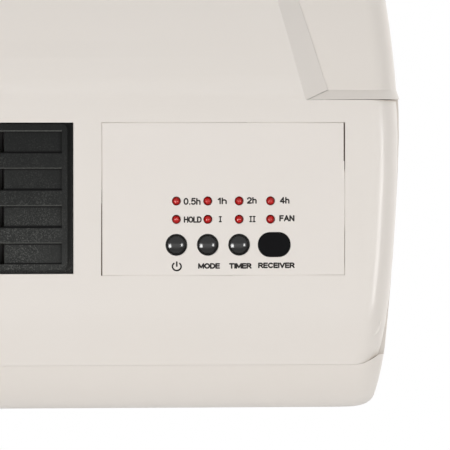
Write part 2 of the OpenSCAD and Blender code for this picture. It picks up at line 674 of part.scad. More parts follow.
module key_form(c) color("#2c2b2a") hung() translate([column_x(c), 0, key_z]) {
    dome_r = (key_d * key_d / 4 + 1.2 * 1.2) / (2 * 1.2);
    intersection() {
        translate([0, front_y + dome_r - 0.1, 0]) sphere(dome_r, $fn = 96);
        rod_y(front_y - 0.2, key_back_y, 0, 0, key_d);
    }
    rod_y(panel_back_y + 0.1, key_back_y, 0, 0, key_d + 2 * key_flange_w);
    rod_y(key_back_y - eps, plunger_y - 1.5, 0, 0, 3.4);
}
module power_button() key_form(key_columns[0]);
module mode_button() key_form(key_columns[1]);
module timer_button() key_form(key_columns[2]);
module plunger_form(c) color("#1d1d1d") hung()
    rod_y(plunger_y - 1.5, plunger_y + key_travel + 0.6, column_x(c), key_z, 3);
module power_plunger() plunger_form(key_columns[0]);
module mode_plunger() plunger_form(key_columns[1]);
module timer_plunger() plunger_form(key_columns[2]);
module tact_switches() color("#4a4a4c") hung() for (c = key_columns) difference() {
    block([column_x(c) - 3, plunger_y, key_z - 3], [column_x(c) + 3, board_y, key_z + 3]);
    rod_y(plunger_y - 1, plunger_y + 2 * key_travel + 1, column_x(c), key_z, 3 + 2 * key_gap);
}
module control_board() color("#2f6b3c") hung() difference() {
    run_y(board_y, board_y + board_t) translate([panel_x, panel_z])
        square([board_w, board_h], center = true);
    for (sx = [-1, 1], sz = [-1, 1])
        rod_y(board_y - 1, board_y + 3, panel_x + sx * board_post_x, panel_z + sz * board_post_z, 2.6);
}
module ir_receiver() color("#242326") hung() translate([window_x, 0, key_z]) {
    block([-3.2, panel_back_y + 2.2, -3.4], [3.2, panel_back_y + 6, 3.4]);
    translate([0, panel_back_y + 3, 0]) sphere(r = 1.6);
    for (x = [-2, 0, 2]) block([x - 0.3, panel_back_y + 4, -0.3], [x + 0.3, board_y, 0.3]);
}
module board_screws() color("#9a9a98") hung() for (sx = [-1, 1], sz = [-1, 1])
    translate([panel_x + sx * board_post_x, 0, panel_z + sz * board_post_z]) {
        rod_y(board_y - 5, board_y + board_t + 1, 0, 0, 1.96);
        rod_y(board_y + board_t, board_y + board_t + 1.6, 0, 0, 4.4);
    }

// Power electronics behind the control panel
board_back_y = -power_board_y - board_t;
module power_board() color("#2f6b3c") hung() difference() {
    run_y(board_back_y, -power_board_y) translate([power_board_x, power_board_z])
        square([power_board_w, power_board_h], center = true);
    for (sx = [-1, 1], sz = [-1, 1]) rod_y(board_back_y - 1, 0, power_board_x + sx * power_post_x,
        power_board_z + sz * power_post_z, 2.6);
}
module relays() color("#2b4f8f") hung() for (i = [-1, 1])
    translate([power_board_x + i * 13, board_back_y, power_board_z + 18])
        block([-relay_w / 2, -relay_d, -8], [relay_w / 2, 0, 8]);
module capacitors() color("#c9a227") hung() {
    translate([power_board_x - 14, board_back_y, power_board_z - 6])
        block([-film_w / 2, -film_w * 2 / 3, -film_w / 4], [film_w / 2, 0, film_w / 4]);
    rod_y(board_back_y - can_h, board_back_y, power_board_x + 16, power_board_z - 6, can_d);
}
plug_d = 5;
module ribbon_cable() color("#b9b6b0") hung() {
    x = power_board_x - power_board_w / 2 + 6 + ribbon_w / 2;
    z = power_board_z - power_board_h / 2 + 12;
    y0 = board_y + board_t;
    run_z = z - 8;
    x0 = x - ribbon_w / 2;
    x1 = x + ribbon_w / 2;
    for (y = [y0, board_back_y - plug_d])
        block([x0 - 1, y, z - plug_d / 2], [x1 + 1, y + plug_d, z + plug_d / 2]);
    block([x0, y0 + 1, run_z - ribbon_t / 2], [x1, board_back_y - 1, run_z + ribbon_t / 2]);
    for (y = [y0 + 1, board_back_y - 1 - ribbon_t])
        block([x0, y, run_z - ribbon_t / 2], [x1, y + ribbon_t, z]);
}
module terminal_block() color("#e9e7e2") hung() {
    x = power_board_x + power_board_w / 2 - 6 - terminal_w / 2;
    z = power_board_z - power_board_h / 2 + 14;
    pitch = 0.3 * terminal_w;
    difference() {
        block([x - terminal_w / 2, board_back_y - terminal_d, z - 6],
            [x + terminal_w / 2, board_back_y, z + 6]);
        for (i = [-1 : 1]) {
            rod_y(board_back_y - terminal_d - 1, board_back_y - 5, x + i * pitch, z, 5);
            translate([x + i * pitch, board_back_y - 9, z - 7]) cylinder(h = 14, d = 3.4);
        }
    }
}
module cord_grommet() color("#2a2a2a") hung() difference() {
    union() {
        rod_y(-wall_t - 2, 0, grommet_x, cord_z, grommet_d - 0.1);
        rod_y(-wall_t - 2, -wall_t - 0.05, grommet_x, cord_z, grommet_d + 4);
    }
    rod_y(-wall_t - 3, 1, grommet_x, cord_z, cord_hole_d);
}

// Blower wheel with its motor
blade_mid_r = wheel_d / 2 - blade_h / 2 - 0.4;
blade_r = blade_h * 1.1;
disc_t = 1.6;
hub_d = 16;
shaft_end = duct_x1 + duct_t + 4 + frame_t + stack_t + frame_t + 4;
module blade_section() intersection() {
    difference() {
        circle(wheel_d / 2 - 0.4);
        circle(wheel_d / 2 - 0.4 - blade_h);
    }
    translate([blade_mid_r - blade_r * 0.35, -blade_r * 0.95]) difference() {
        circle(blade_r + blade_t / 2);
        circle(blade_r - blade_t / 2);
    }
    polygon([[0, -4], [far, -9], [far, 9], [0, 4]]);
}
module blower_wheel() color("#3a3b3d") hung() translate([0, axis_y, wheel_z]) difference() {
    union() {
        for (i = [0 : disc_count - 1]) {
            x = wheel_x0 + i * (wheel_x1 - wheel_x0 - disc_t) / (disc_count - 1);
            run_x(x, x + disc_t) difference() {
                circle(d = wheel_d);
                if (i > 0 && i < disc_count - 1) circle(wheel_d / 2 - blade_h - 1);
            }
        }
        for (i = [0 : blade_count - 1]) rotate([i * 360 / blade_count, 0, 0])
            run_x(wheel_x0 + eps, wheel_x1 - eps) blade_section();
        rod_x(wheel_x1 - 12, wheel_x1 + 2, 0, 0, hub_d);
        rod_x(wheel_x0 - 2, wheel_x0 + 10, 0, 0, hub_d);
    }
    rod_x(wheel_x1 - 10, far, 0, 0, shaft_d);
    rod_x(-far, wheel_x0 + 9, 0, 0, shaft_d);
}
module motor_shaft() color("#b8bab9") hung() {
    rod_x(wheel_x1 - 10, shaft_end, axis_y, wheel_z, shaft_d);
    rod_x(bearing_x0 - 1, wheel_x0 + 9, axis_y, wheel_z, shaft_d);
}
stack_x0 = duct_x1 + duct_t + 4 + frame_t;
stack_x1 = stack_x0 + stack_t;
frame_gap = 2;
module motor_rotor() color("#8f9092") hung() difference() {
    rod_x(stack_x0 + frame_gap, stack_x1 - frame_gap, axis_y, wheel_z, rotor_d);
    rod_x(stack_x0 - 1, stack_x1 + 1, axis_y, wheel_z, shaft_d);
}
leg_h = 9;
coil_t = 6;
window_half = 15;
window_high = 8;
motor_hole_d = motor_screw_d + 0.4;
motor_screw_y = stack_w / 2 - 5;
motor_screw_z = stack_h / 2 - 5;
stack_mid_z = wheel_z - 8;
module motor_stator() color("#6f7071") hung() translate([0, axis_y, stack_mid_z]) difference() {
    run_x(stack_x0, stack_x1) round_rect(stack_w, stack_h, 4);
    rod_x(stack_x0 - 1, stack_x1 + 1, 0, 8, rotor_d + 2 * air_gap);
    block([stack_x0 - 1, -window_half, -stack_h / 2 + leg_h],
        [stack_x1 + 1, window_half, -stack_h / 2 + leg_h + window_high]);
    for (sy = [-1, 1], sz = [-1, 1])
        rod_x(stack_x0 - 1, stack_x1 + 1, sy * motor_screw_y, sz * motor_screw_z, motor_hole_d);
}
module motor_coil() color("#a5532a") hung() translate([0, axis_y, stack_mid_z - stack_h / 2]) difference() {
    block([stack_x0 - coil_t, -window_half + 1, -coil_t],
        [stack_x1 + coil_t, window_half - 1, leg_h + coil_t]);
    block([stack_x0 - rest_gap, -far, -rest_gap], [stack_x1 + rest_gap, far, leg_h + rest_gap]);
}
module motor_frames() color("#a9abab") hung() translate([0, axis_y, stack_mid_z]) difference() {
    union() {
        for (x = [stack_x0 - frame_t, stack_x1]) {
            run_x(x, x + frame_t) translate([0, 8]) round_rect(20, stack_h - 16, 3);
            run_x(x, x + frame_t) translate([0, motor_screw_z]) round_rect(stack_w, 9, 3);
        }
        rod_x(stack_x0 - frame_t - 1, stack_x0 + frame_gap - rest_gap, 0, 8, 12);
        rod_x(stack_x1 - frame_gap + rest_gap, stack_x1 + frame_t + 2, 0, 8, 12);
    }
    rod_x(-far, far, 0, 8, shaft_d + 2 * running_gap);
    for (sy = [-1, 1]) rod_x(-far, far, sy * motor_screw_y, motor_screw_z, motor_hole_d);
}
mount_x0 = duct_x1 + duct_t;
module motor_grommets() color("#202020") hung() for (sy = [-1, 1])
    translate([0, axis_y + sy * motor_screw_y, stack_mid_z + motor_screw_z]) difference() {
        rod_x(mount_x0 + 0.05, stack_x0 - frame_t - 0.05, 0, 0, 8);
        rod_x(mount_x0 - 1, stack_x0, 0, 0, motor_hole_d);
    }
module motor_screws() color("#9a9a98") hung() for (sy = [-1, 1])
    translate([0, axis_y + sy * motor_screw_y, stack_mid_z + motor_screw_z]) {
        rod_x(mount_x0 - duct_t, stack_x1 + frame_t + 1, 0, 0, motor_screw_d);
        rod_x(stack_x1 + frame_t, stack_x1 + frame_t + 0.7 * motor_screw_d, 0, 0, 1.9 * motor_screw_d);
    }
bearing_len = 8;
bearing_x0 = duct_x0 - duct_t - bearing_len - 1;
bearing_d = shaft_d + 5;
holder_d = shaft_d + 13;
module wheel_bearing() color("#b08d57") hung() difference() {
    rod_x(bearing_x0, bearing_x0 + bearing_len, axis_y, wheel_z, bearing_d);
    rod_x(bearing_x0 - 1, bearing_x0 + bearing_len + 1, axis_y, wheel_z, shaft_d + 2 * running_gap);
}
module bearing_holder() color("#202020") hung() difference() {
    rod_x(bearing_x0, duct_x0 - duct_t - 0.05, axis_y, wheel_z, holder_d);
    rod_x(bearing_x0 - 1, bearing_x0 + bearing_len + 0.05, axis_y, wheel_z, bearing_d + 0.1);
    rod_x(bearing_x0, duct_x0, axis_y, wheel_z, shaft_d + 2);
}

// Duct round the blower wheel
scroll_c = [axis_y - 3, wheel_z - 10];
scroll_a0 = 70;
scroll_a1 = -50;
mouth_y = grille_back_y + 0.5;
floor_z = outlet_z + 0.3;
roof_z = outlet_top - 0.3;
function on_scroll(a, r) = scroll_c + r * [cos(a), sin(a)];
run_in = on_scroll(scroll_a1, scroll_r);
run_out = on_scroll(scroll_a1, scroll_r + duct_t);
slope_gap = 12.3;
slope_end = [mouth_y + heater_back + heater_d + slope_gap, floor_z];
nose_turn = 36;
nose_c = [axis_y, wheel_z] - (wheel_d / 2 + tongue_gap + nose_r) * [cos(nose_turn), sin(nose_turn)];
inlet_mid = [axis_y - wheel_d / 2 - front_gap, wheel_z];
inlet_z = wheel_z + 24;
inlet_top = [face_y(inlet_z, wall_t, 0) + inlet_gap, inlet_z];
module back_section() {
    intersection() {
        translate(scroll_c) difference() {
            circle(scroll_r + duct_t, $fn = 120);
            circle(scroll_r, $fn = 120);
        }
        polygon([scroll_c, on_scroll(scroll_a0, 90), on_scroll(0, 160), on_scroll(scroll_a1, 90)]);
    }
    polygon([run_in, run_out, slope_end + [duct_t, -duct_t], slope_end + [-1, 0]]);
    polygon([slope_end + [duct_t, -duct_t], slope_end, [mouth_y, floor_z], [mouth_y, floor_z - duct_t]]);
}
module tongue_section() {
    translate(nose_c) circle(nose_r);
    polygon([[mouth_y, roof_z], [mouth_y, roof_z + duct_t], nose_c + [-1, 0.5], nose_c + [2, -2.2]]);
    polygon([nose_c + [-2.6, 1.4], nose_c + [0, 3], inlet_mid, inlet_top + [duct_t, 0], inlet_top,
        inlet_mid - [duct_t, 0]]);
}
module end_section() {
    intersection() {
        translate(scroll_c) circle(scroll_r + duct_t, $fn = 120);
        translate([max(inlet_top[0], inlet_mid[0] - duct_t), -far]) square(2 * far);
    }
    polygon([run_out, slope_end + [duct_t, -duct_t], [mouth_y, floor_z - duct_t],
        [mouth_y, roof_z + duct_t], nose_c + [-2.6, 1.4], inlet_mid - [duct_t, 0], inlet_top,
        on_scroll(scroll_a0 + 30, scroll_r), scroll_c]);
}
module air_duct() color("#d9d6d0") hung() difference() {
    union() {
        run_x(duct_x0 - duct_t, duct_x1 + duct_t) {
            back_section();
            tongue_section();
        }
        for (x = [duct_x0 - duct_t, duct_x1]) run_x(x, x + duct_t) end_section();
        for (x = duct_foot_x) block([x - 5, scroll_c[0] + scroll_r + duct_t / 2, duct_foot_z - 5],
            [x + 5, duct_post_y - 0.1, duct_foot_z + 5]);
        rod_x(bearing_x0, duct_x0 - duct_t / 2, axis_y, wheel_z, holder_d + 4);
    }
    rod_x(bearing_x0 - 1, duct_x0 - duct_t, axis_y, wheel_z, holder_d + 0.1);
    for (i = [0 : tube_count - 1]) block([duct_x1 - 1, element_mid_y - 4.2, tube_z(i) + tube_h / 2 - 1.4],
        [duct_x1 + duct_t + 1, element_mid_y + 4.2, tube_z(i) + tube_h / 2 + 1.4]);
    rod_x(duct_x0 - duct_t - 1, duct_x0 + 1, axis_y, wheel_z, shaft_d + 2);
    rod_x(duct_x1 - 1, duct_x1 + duct_t + 1, axis_y, wheel_z, hub_d + 2);
    for (sy = [-1, 1]) rod_x(duct_x1 - 1, duct_x1 + duct_t + 1, axis_y + sy * motor_screw_y,
        stack_mid_z + motor_screw_z, motor_screw_d + 0.06);
    for (x = duct_foot_x) rod_y(-30, 1, x, duct_foot_z, screw_d + 0.64);
}
module duct_screws() color("#9a9a98") hung() for (x = duct_foot_x) {
    rod_y(scroll_c[0] + scroll_r - 2, -4, x, duct_foot_z, screw_d);
    rod_y(scroll_c[0] + scroll_r - 2, scroll_c[0] + scroll_r - 0.15, x, duct_foot_z, 2.2 * screw_d);
}

// Heating element in the outlet of the duct
element_y0 = mouth_y + heater_back;
element_y1 = element_y0 + heater_d;
element_mid_y = (element_y0 + element_y1) / 2;
cap_w = 9;
rail_t = 1.5;
element_x0 = duct_x0 + rest_gap;
element_x1 = duct_x1 - rest_gap;
core_x0 = element_x0 + cap_w;
core_x1 = element_x1 - cap_w;
element_z0 = floor_z + rest_gap;
element_z1 = roof_z - rest_gap;
core_z0 = element_z0 + rail_t;
core_h = element_z1 - element_z0 - 2 * rail_t;
fin_h = (core_h - tube_count * tube_h) / (tube_count + 1);
function tube_z(i) = core_z0 + fin_h + i * (tube_h + fin_h);
module heater_frame() color("#2e2c2a") hung() difference() {
    block([element_x0, element_y0, element_z0], [element_x1, element_y1, element_z1]);
    for (i = [0 : tube_count - 1]) block([core_x1, element_mid_y - 3.3, tube_z(i) + tube_h / 2 - 0.5],
        [element_x1 + 1, element_mid_y + 3.3, tube_z(i) + tube_h / 2 + 0.5]);
    block([core_x0, element_y0 - 1, core_z0], [core_x1, element_y1 + 1, core_z0 + core_h]);
    for (i = [0 : tube_count - 1]) block([core_x0 - 5, element_y0 + 1.5, tube_z(i)],
        [core_x1 + 5, element_y1 - 1.5, tube_z(i) + tube_h]);
}
module heater_tubes() color("#b7b9bb") hung() for (i = [0 : tube_count - 1])
    block([core_x0 - 4.9, element_y0 + 1.6, tube_z(i) + 0.05],
        [core_x1 + 4.9, element_y1 - 1.6, tube_z(i) + tube_h - 0.05]);
fold_count = floor((core_x1 - core_x0 - 4) / fin_pitch / 2) * 2;
module fin_strip(h) {
    x0 = (core_x0 + core_x1 - fold_count * fin_pitch) / 2;
    zig = [for (i = [0 : fold_count]) [x0 + i * fin_pitch, i % 2 == 0 ? fin_t / 2 : h - fin_t * 1.5]];
    zag = [for (i = [fold_count : -1 : 0]) [x0 + i * fin_pitch, i % 2 == 0 ? fin_t * 1.5 : h - fin_t / 2]];
    polygon(concat(zig, zag));
}
module heater_fins() color("#c8c9c6") hung() for (i = [0 : tube_count])
    translate([0, 0, core_z0 + i * (tube_h + fin_h)])
        run_y(element_y0 + 1, element_y1 - 1) fin_strip(fin_h);
module heater_terminals() color("#c2a15a") hung() for (i = [0 : tube_count - 1])
    translate([core_x1 + 4.9, element_mid_y, tube_z(i) + tube_h / 2])
        block([0, -3.15, -0.4], [cap_w + 6, 3.15, 0.4]);
cutout_x = duct_x0 + cutout_side;
fuse_y = element_y1 + 3.3;
module thermal_cutout() color("#8d8e90") hung() {
    z = (element_z0 + element_z1) / 2;
    block([cutout_x - 4, element_y1 + 0.05, element_z0], [cutout_x + 4, element_y1 + 0.85, element_z1]);
    rod_y(element_y1 + 0.5, element_y1 + 0.5 + cutout_h, cutout_x, z, cutout_d);
    for (s = [-1, 1]) block([cutout_x + s * 4 - 0.4, element_y1 + cutout_h, z - 3],
        [cutout_x + s * 4 + 0.4, element_y1 + cutout_h + 7, z + 3]);
}
module thermal_fuse() color("#b9a26a") hung() {
    x = cutout_x + 40;
    rod_x(x, x + fuse_len, fuse_y, floor_z + 0.2 + fuse_d / 2, fuse_d);
    rod_x(x - 10, x + fuse_len + 10, fuse_y, floor_z + 0.2 + fuse_d / 2, 1);
}

// Steel bracket on the wall
module wall_bracket() color("#c4c6c8") hung() difference() {
    union() {
        run_y(-bracket_t, 0) translate([0, hang_z]) round_rect(bracket_w, bracket_h, 5);
        both_sides() {
            block([hook_x - hook_w / 2, -hook_reach, hook_z],
                [hook_x + hook_w / 2, -bracket_t + eps, hook_z + hook_tab_t]);
            block([hook_x - hook_w / 2, -hook_reach, hook_z],
                [hook_x + hook_w / 2, -hook_reach + hook_tab_t, hook_z + 9]);
        }
    }
    for (sx = [-1, 1], sz = [-1, 1])
        rod_y(-bracket_t - 1, 1, sx * screw_pitch_x / 2, hang_z + sz * screw_pitch_z / 2, screw_hole_d);
}
module housing_screws() color("#9a9a98") hung() both_sides() for (z = post_levels) {
    rod_y(joint_y - post_thread, head_y + 0.05, post_x, z, post_screw_d);
    rod_y(head_y + 0.05, head_y + 2.4, post_x, z, 6.4);
}

front_cover();
rear_housing();
intake_grille();
outlet_grille();
control_panel();
receiver_window();
status_leds();
power_button();
mode_button();
timer_button();
power_plunger();
mode_plunger();
timer_plunger();
tact_switches();
control_board();
ir_receiver();
board_screws();
power_board();
relays();
capacitors();
ribbon_cable();
terminal_block();
cord_grommet();
blower_wheel();
motor_shaft();
motor_rotor();
motor_stator();
motor_coil();
motor_frames();
motor_grommets();
motor_screws();
wheel_bearing();
bearing_holder();
air_duct();
duct_screws();
heater_frame();
heater_tubes();
heater_fins();
heater_terminals();
thermal_cutout();
thermal_fuse();
wall_bracket();
housing_screws();
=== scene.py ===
import bpy
import bmesh
import json
import math
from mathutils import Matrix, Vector
from mathutils.bvhtree import BVHTree


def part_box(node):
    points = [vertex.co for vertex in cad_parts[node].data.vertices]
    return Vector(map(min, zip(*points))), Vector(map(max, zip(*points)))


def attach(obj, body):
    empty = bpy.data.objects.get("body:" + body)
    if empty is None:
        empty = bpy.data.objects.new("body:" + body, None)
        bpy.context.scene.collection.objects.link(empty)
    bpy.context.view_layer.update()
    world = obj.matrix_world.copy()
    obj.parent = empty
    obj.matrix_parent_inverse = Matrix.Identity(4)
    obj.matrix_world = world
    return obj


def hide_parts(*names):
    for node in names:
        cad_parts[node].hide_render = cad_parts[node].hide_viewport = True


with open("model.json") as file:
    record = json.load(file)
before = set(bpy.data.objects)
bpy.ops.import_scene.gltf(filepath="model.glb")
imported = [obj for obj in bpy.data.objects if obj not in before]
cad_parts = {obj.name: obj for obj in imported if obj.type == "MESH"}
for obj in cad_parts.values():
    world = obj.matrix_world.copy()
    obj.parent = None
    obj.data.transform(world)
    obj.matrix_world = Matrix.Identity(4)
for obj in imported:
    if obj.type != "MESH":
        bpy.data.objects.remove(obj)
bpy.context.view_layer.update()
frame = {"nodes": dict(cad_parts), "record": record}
nodes = frame["nodes"]
scene = bpy.context.scene
mm = 0.001

camera = {
    "place": (0.010, -1.818, -0.040),
    "aim": (0.1622, -0.118, -0.0808),
    "lens": 391.0,
    "sensor": 36.0,
    "near": 0.02,
    "far": 60,
}


def addObject(name, data):
    made = bpy.data.objects.new(name, data)
    scene.collection.objects.link(made)
    return made


def pointAt(item, place, aim):
    item.location = place
    item.rotation_euler = (Vector(aim) - Vector(place)).to_track_quat("-Z", "Y").to_euler()


def makeCamera():
    data = bpy.data.cameras.new("photoCamera")
    data.lens, data.sensor_width = camera["lens"], camera["sensor"]
    data.clip_start, data.clip_end = camera["near"], camera["far"]
    scene.camera = addObject("photoCamera", data)
    pointAt(scene.camera, camera["place"], camera["aim"])


makeCamera()
print("camera placed")

# Shader node groups, each built once
colourSocket, numberSocket, vectorSocket = "NodeSocketColor", "NodeSocketFloat", "NodeSocketVector"
dustTone = (0.42, 0.39, 0.35, 1)
# tone of the duct's painted shade
outletShadeTone = (0.012, 0.011, 0.010, 1)
# black of the grille's painted shade
paintedShadeTone = (0.0015, 0.0015, 0.0015, 1)


def startGroup(name, inputs, outputs):
    tree = bpy.data.node_groups.new(name, "ShaderNodeTree")
    for label, kind, value in inputs:
        socket = tree.interface.new_socket(name=label, in_out="INPUT", socket_type=kind)
        if value is not None:
            socket.default_value = value
    for label, kind in outputs:
        tree.interface.new_socket(name=label, in_out="OUTPUT", socket_type=kind)
    return tree, tree.nodes.new("NodeGroupInput").outputs, tree.nodes.new("NodeGroupOutput").inputs


def feed(tree, node, values):
    # a socket is linked, a number or colour is set
    for key, value in values.items():
        if isinstance(value, bpy.types.NodeSocket):
            tree.links.new(value, node.inputs[key])
        else:
            node.inputs[key].default_value = value


def addNode(tree, kind, ins=None, **settings):
    made = tree.nodes.new(kind)
    for key, value in settings.items():
        setattr(made, key, value)
    feed(tree, made, ins or {})
    return made


def mathNode(tree, operation, a, b=0.0, clamp=False):
    return addNode(tree, "ShaderNodeMath", operation=operation, use_clamp=clamp, ins={0: a, 1: b}).outputs[0]


def mixColours(tree, factor, a, b):
    return addNode(tree, "ShaderNodeMix", data_type="RGBA", ins={0: factor, 6: a, 7: b}).outputs[2]


def noiseNode(tree, place, scale, detail=2.0, rough=0.5):
    return addNode(tree, "ShaderNodeTexNoise", ins={"Vector": place, "Scale": scale, "Detail": detail,
                                                    "Roughness": rough}).outputs[0]


def rangeNode(tree, value, low, high, toLow=0.0, toHigh=1.0, kind="LINEAR"):
    return addNode(tree, "ShaderNodeMapRange", interpolation_type=kind, ins={
        "Value": value, "From Min": low, "From Max": high, "To Min": toLow, "To Max": toHigh}).outputs[0]


def bumpNode(tree, height, depth, strength):
    return addNode(tree, "ShaderNodeBump", ins={"Height": height, "Distance": depth,
                                                "Strength": strength}).outputs[0]


def axisOf(tree, vector, axis):
    return addNode(tree, "ShaderNodeSeparateXYZ", ins={0: vector}).outputs[axis]


def objectPlace(tree, stretch=(1, 1, 1)):
    place = addNode(tree, "ShaderNodeTexCoord").outputs["Object"]
    return addNode(tree, "ShaderNodeMapping", ins={"Vector": place, "Scale": stretch}).outputs[0]


def makeMottle():
    # slow drift of tone, as moulded plastic and paint have
    tree, into, out = startGroup(
        "mottle", [("Color", colourSocket, None), ("Other", colourSocket, None), ("Size", numberSocket, 30.0),
                   ("Amount", numberSocket, 0.5)],
        [("Color", colourSocket), ("Mask", numberSocket)])
    broad = noiseNode(tree, objectPlace(tree), into["Size"], 4.0, 0.55)
    level = rangeNode(tree, broad, 0.2, 0.8, kind="SMOOTHSTEP")
    share = mathNode(tree, "MULTIPLY", level, into["Amount"], clamp=True)
    tree.links.new(mixColours(tree, share, into["Color"], into["Other"]), out["Color"])
    tree.links.new(level, out["Mask"])
    return tree


def makeGrain():
    # fine pits and bumps of a textured mould
    tree, into, out = startGroup(
        "grain", [("Size", numberSocket, 2000.0), ("Depth", numberSocket, 0.00002),
                  ("Strength", numberSocket, 0.5)],
        [("Normal", vectorSocket)])
    place = objectPlace(tree)
    pits = addNode(tree, "ShaderNodeTexVoronoi", feature="SMOOTH_F1",
                   ins={"Vector": place, "Scale": into["Size"]}).outputs["Distance"]
    rough = noiseNode(tree, place, mathNode(tree, "MULTIPLY", into["Size"], 0.6), 3.0)
    both = mathNode(tree, "ADD", mathNode(tree, "MULTIPLY", pits, 0.6),
                    mathNode(tree, "MULTIPLY", rough, 0.6))
    tree.links.new(bumpNode(tree, both, into["Depth"], into["Strength"]), out["Normal"])
    return tree


def makeBrushing():
    # fine parallel lines of drawn, ground or rolled metal
    tree, into, out = startGroup(
        "brushing", [("Color", colourSocket, None), ("Other", colourSocket, None),
                     ("Along", vectorSocket, (1.0, 1.0, 1.0)), ("Size", numberSocket, 3000.0),
                     ("Rough", numberSocket, 0.3)],
        [("Color", colourSocket), ("Roughness", numberSocket), ("Normal", vectorSocket)])
    place = addNode(tree, "ShaderNodeTexCoord").outputs["Object"]
    drawn = addNode(tree, "ShaderNodeVectorMath", operation="MULTIPLY",
                    ins={0: place, 1: into["Along"]}).outputs[0]
    lines = noiseNode(tree, drawn, into["Size"], 2.0, 0.6)
    stain = noiseNode(tree, place, 90.0, 4.0)
    share = mathNode(tree, "MULTIPLY", mathNode(tree, "ADD", lines, stain), 0.5)
    spread = mathNode(tree, "MULTIPLY", mathNode(tree, "SUBTRACT", share, 0.5), 0.5)
    tree.links.new(mixColours(tree, share, into["Color"], into["Other"]), out["Color"])
    tree.links.new(mathNode(tree, "ADD", into["Rough"], spread, clamp=True), out["Roughness"])
    tree.links.new(bumpNode(tree, lines, 0.00002, 0.35), out["Normal"])
    return tree


def makeDust():
    # thin dust that settles on what faces up
    tree, into, out = startGroup("dustAndShade", [("Color", colourSocket, None), ("Amount", numberSocket, 0.2)],
                                 [("Color", colourSocket)])
    facing = axisOf(tree, addNode(tree, "ShaderNodeNewGeometry").outputs["Normal"], 2)
    upward = rangeNode(tree, facing, 0.3, 1.0)
    patch = rangeNode(tree, noiseNode(tree, objectPlace(tree), 260.0, 6.0, 0.7), 0.3, 0.8)
    mask = mathNode(tree, "MULTIPLY", mathNode(tree, "MULTIPLY", upward, patch), into["Amount"], clamp=True)
    tree.links.new(mixColours(tree, mask, into["Color"], dustTone), out["Color"])
    return tree


def makeLayers():
    # stacked sheets or wound turns, drawn as lines across one axis
    tree, into, out = startGroup(
        "layers", [("Color", colourSocket, None), ("Groove", colourSocket, None),
                   ("Across", vectorSocket, (1.0, 0.0, 0.0)), ("Pitch", numberSocket, 0.0005)],
        [("Color", colourSocket), ("Normal", vectorSocket)])
    place = addNode(tree, "ShaderNodeTexCoord").outputs["Object"]
    along = addNode(tree, "ShaderNodeVectorMath", operation="DOT_PRODUCT",
                    ins={0: place, 1: into["Across"]}).outputs["Value"]
    turns = mathNode(tree, "DIVIDE", along, into["Pitch"])
    wobble = mathNode(tree, "MULTIPLY", noiseNode(tree, place, 200.0), 0.3)
    saw = mathNode(tree, "PINGPONG", mathNode(tree, "ADD", turns, wobble), 0.5)
    height = mathNode(tree, "POWER", mathNode(tree, "MULTIPLY", saw, 2.0), 0.6, clamp=True)
    tree.links.new(mixColours(tree, height, into["Groove"], into["Color"]), out["Color"])
    tree.links.new(bumpNode(tree, height, 0.0002, 0.7), out["Normal"])
    return tree


def makeOutletShade():
    # painted shade: the duct darkens towards its front, deep behind the grille, along a noisy line
    tree, into, out = startGroup(
        "outletShade", [("Color", colourSocket, None), ("Start", numberSocket, -0.09), ("End", numberSocket, -0.06)],
        [("Color", colourSocket)])
    place = addNode(tree, "ShaderNodeTexCoord").outputs["Object"]
    cloud = mathNode(tree, "MULTIPLY", noiseNode(tree, place, 120.0, 4.0), 0.004)
    shaken = mathNode(tree, "ADD", axisOf(tree, place, 1), cloud)
    unshaded = rangeNode(tree, shaken, into["Start"], into["End"], 0.05)
    tree.links.new(mixColours(tree, unshaded, outletShadeTone, into["Color"]), out["Color"])
    return tree


def makeSpecksLightShade():
    # bright pits of a spark-eroded mould, with painted shade towards the top; the mesh's mark gives a painted
    # highlight above 0 and painted shade in black below 0
    tree, into, out = startGroup(
        "specksLightShade", [("Color", colourSocket, None), ("Speck", colourSocket, None), ("Highlight", colourSocket, None),
                   ("Shaded", colourSocket, None), ("Size", numberSocket, 1500.0),
                   ("Spread", numberSocket, 70.0), ("High", numberSocket, 0.0), ("Low", numberSocket, -0.1)],
        [("Color", colourSocket), ("Mask", numberSocket)])
    place = objectPlace(tree)
    plain = addNode(tree, "ShaderNodeTexCoord").outputs["Object"]
    # painted shade: the grille darkens towards its top, where the shell's edge shades it, and its specks fade
    # there
    outOfShade = rangeNode(tree, axisOf(tree, plain, 2), into["High"], into["Low"])
    fine = noiseNode(tree, place, into["Size"], 2.0, 0.7)
    broad = noiseNode(tree, place, into["Spread"], 3.0)
    dots = rangeNode(tree, fine, 0.50, 0.72)
    share = rangeNode(tree, broad, 0.35, 0.65, 0.15, 0.9)
    speckLevel = mathNode(tree, "MULTIPLY", share, mathNode(tree, "ADD", outOfShade, 0.12), clamp=True)
    mask = mathNode(tree, "MULTIPLY", dots, speckLevel, clamp=True)
    shadedBase = mixColours(tree, outOfShade, into["Shaded"], into["Color"])
    dotted = mixColours(tree, mask, shadedBase, into["Speck"])
    # painted highlight where the mesh's mark is above 0, painted shade in black where it is below 0
    lightMark = addNode(tree, "ShaderNodeAttribute", attribute_name="lightShade").outputs["Fac"]
    highlightShare = mathNode(tree, "MULTIPLY", lightMark, mathNode(tree, "ADD", fine, 0.3), clamp=True)
    highlighted = mixColours(tree, highlightShare, dotted, into["Highlight"])
    shadeShare = mathNode(tree, "MULTIPLY", lightMark, -1.0, clamp=True)
    tree.links.new(mixColours(tree, shadeShare, highlighted, paintedShadeTone), out["Color"])
    tree.links.new(mask, out["Mask"])
    return tree


groups = {"mottle": makeMottle(), "grain": makeGrain(), "brushing": makeBrushing(), "dustAndShade": makeDust(),
          "layers": makeLayers(), "specksLightShade": makeSpecksLightShade(), "outletShade": makeOutletShade()}
print("shader groups built")

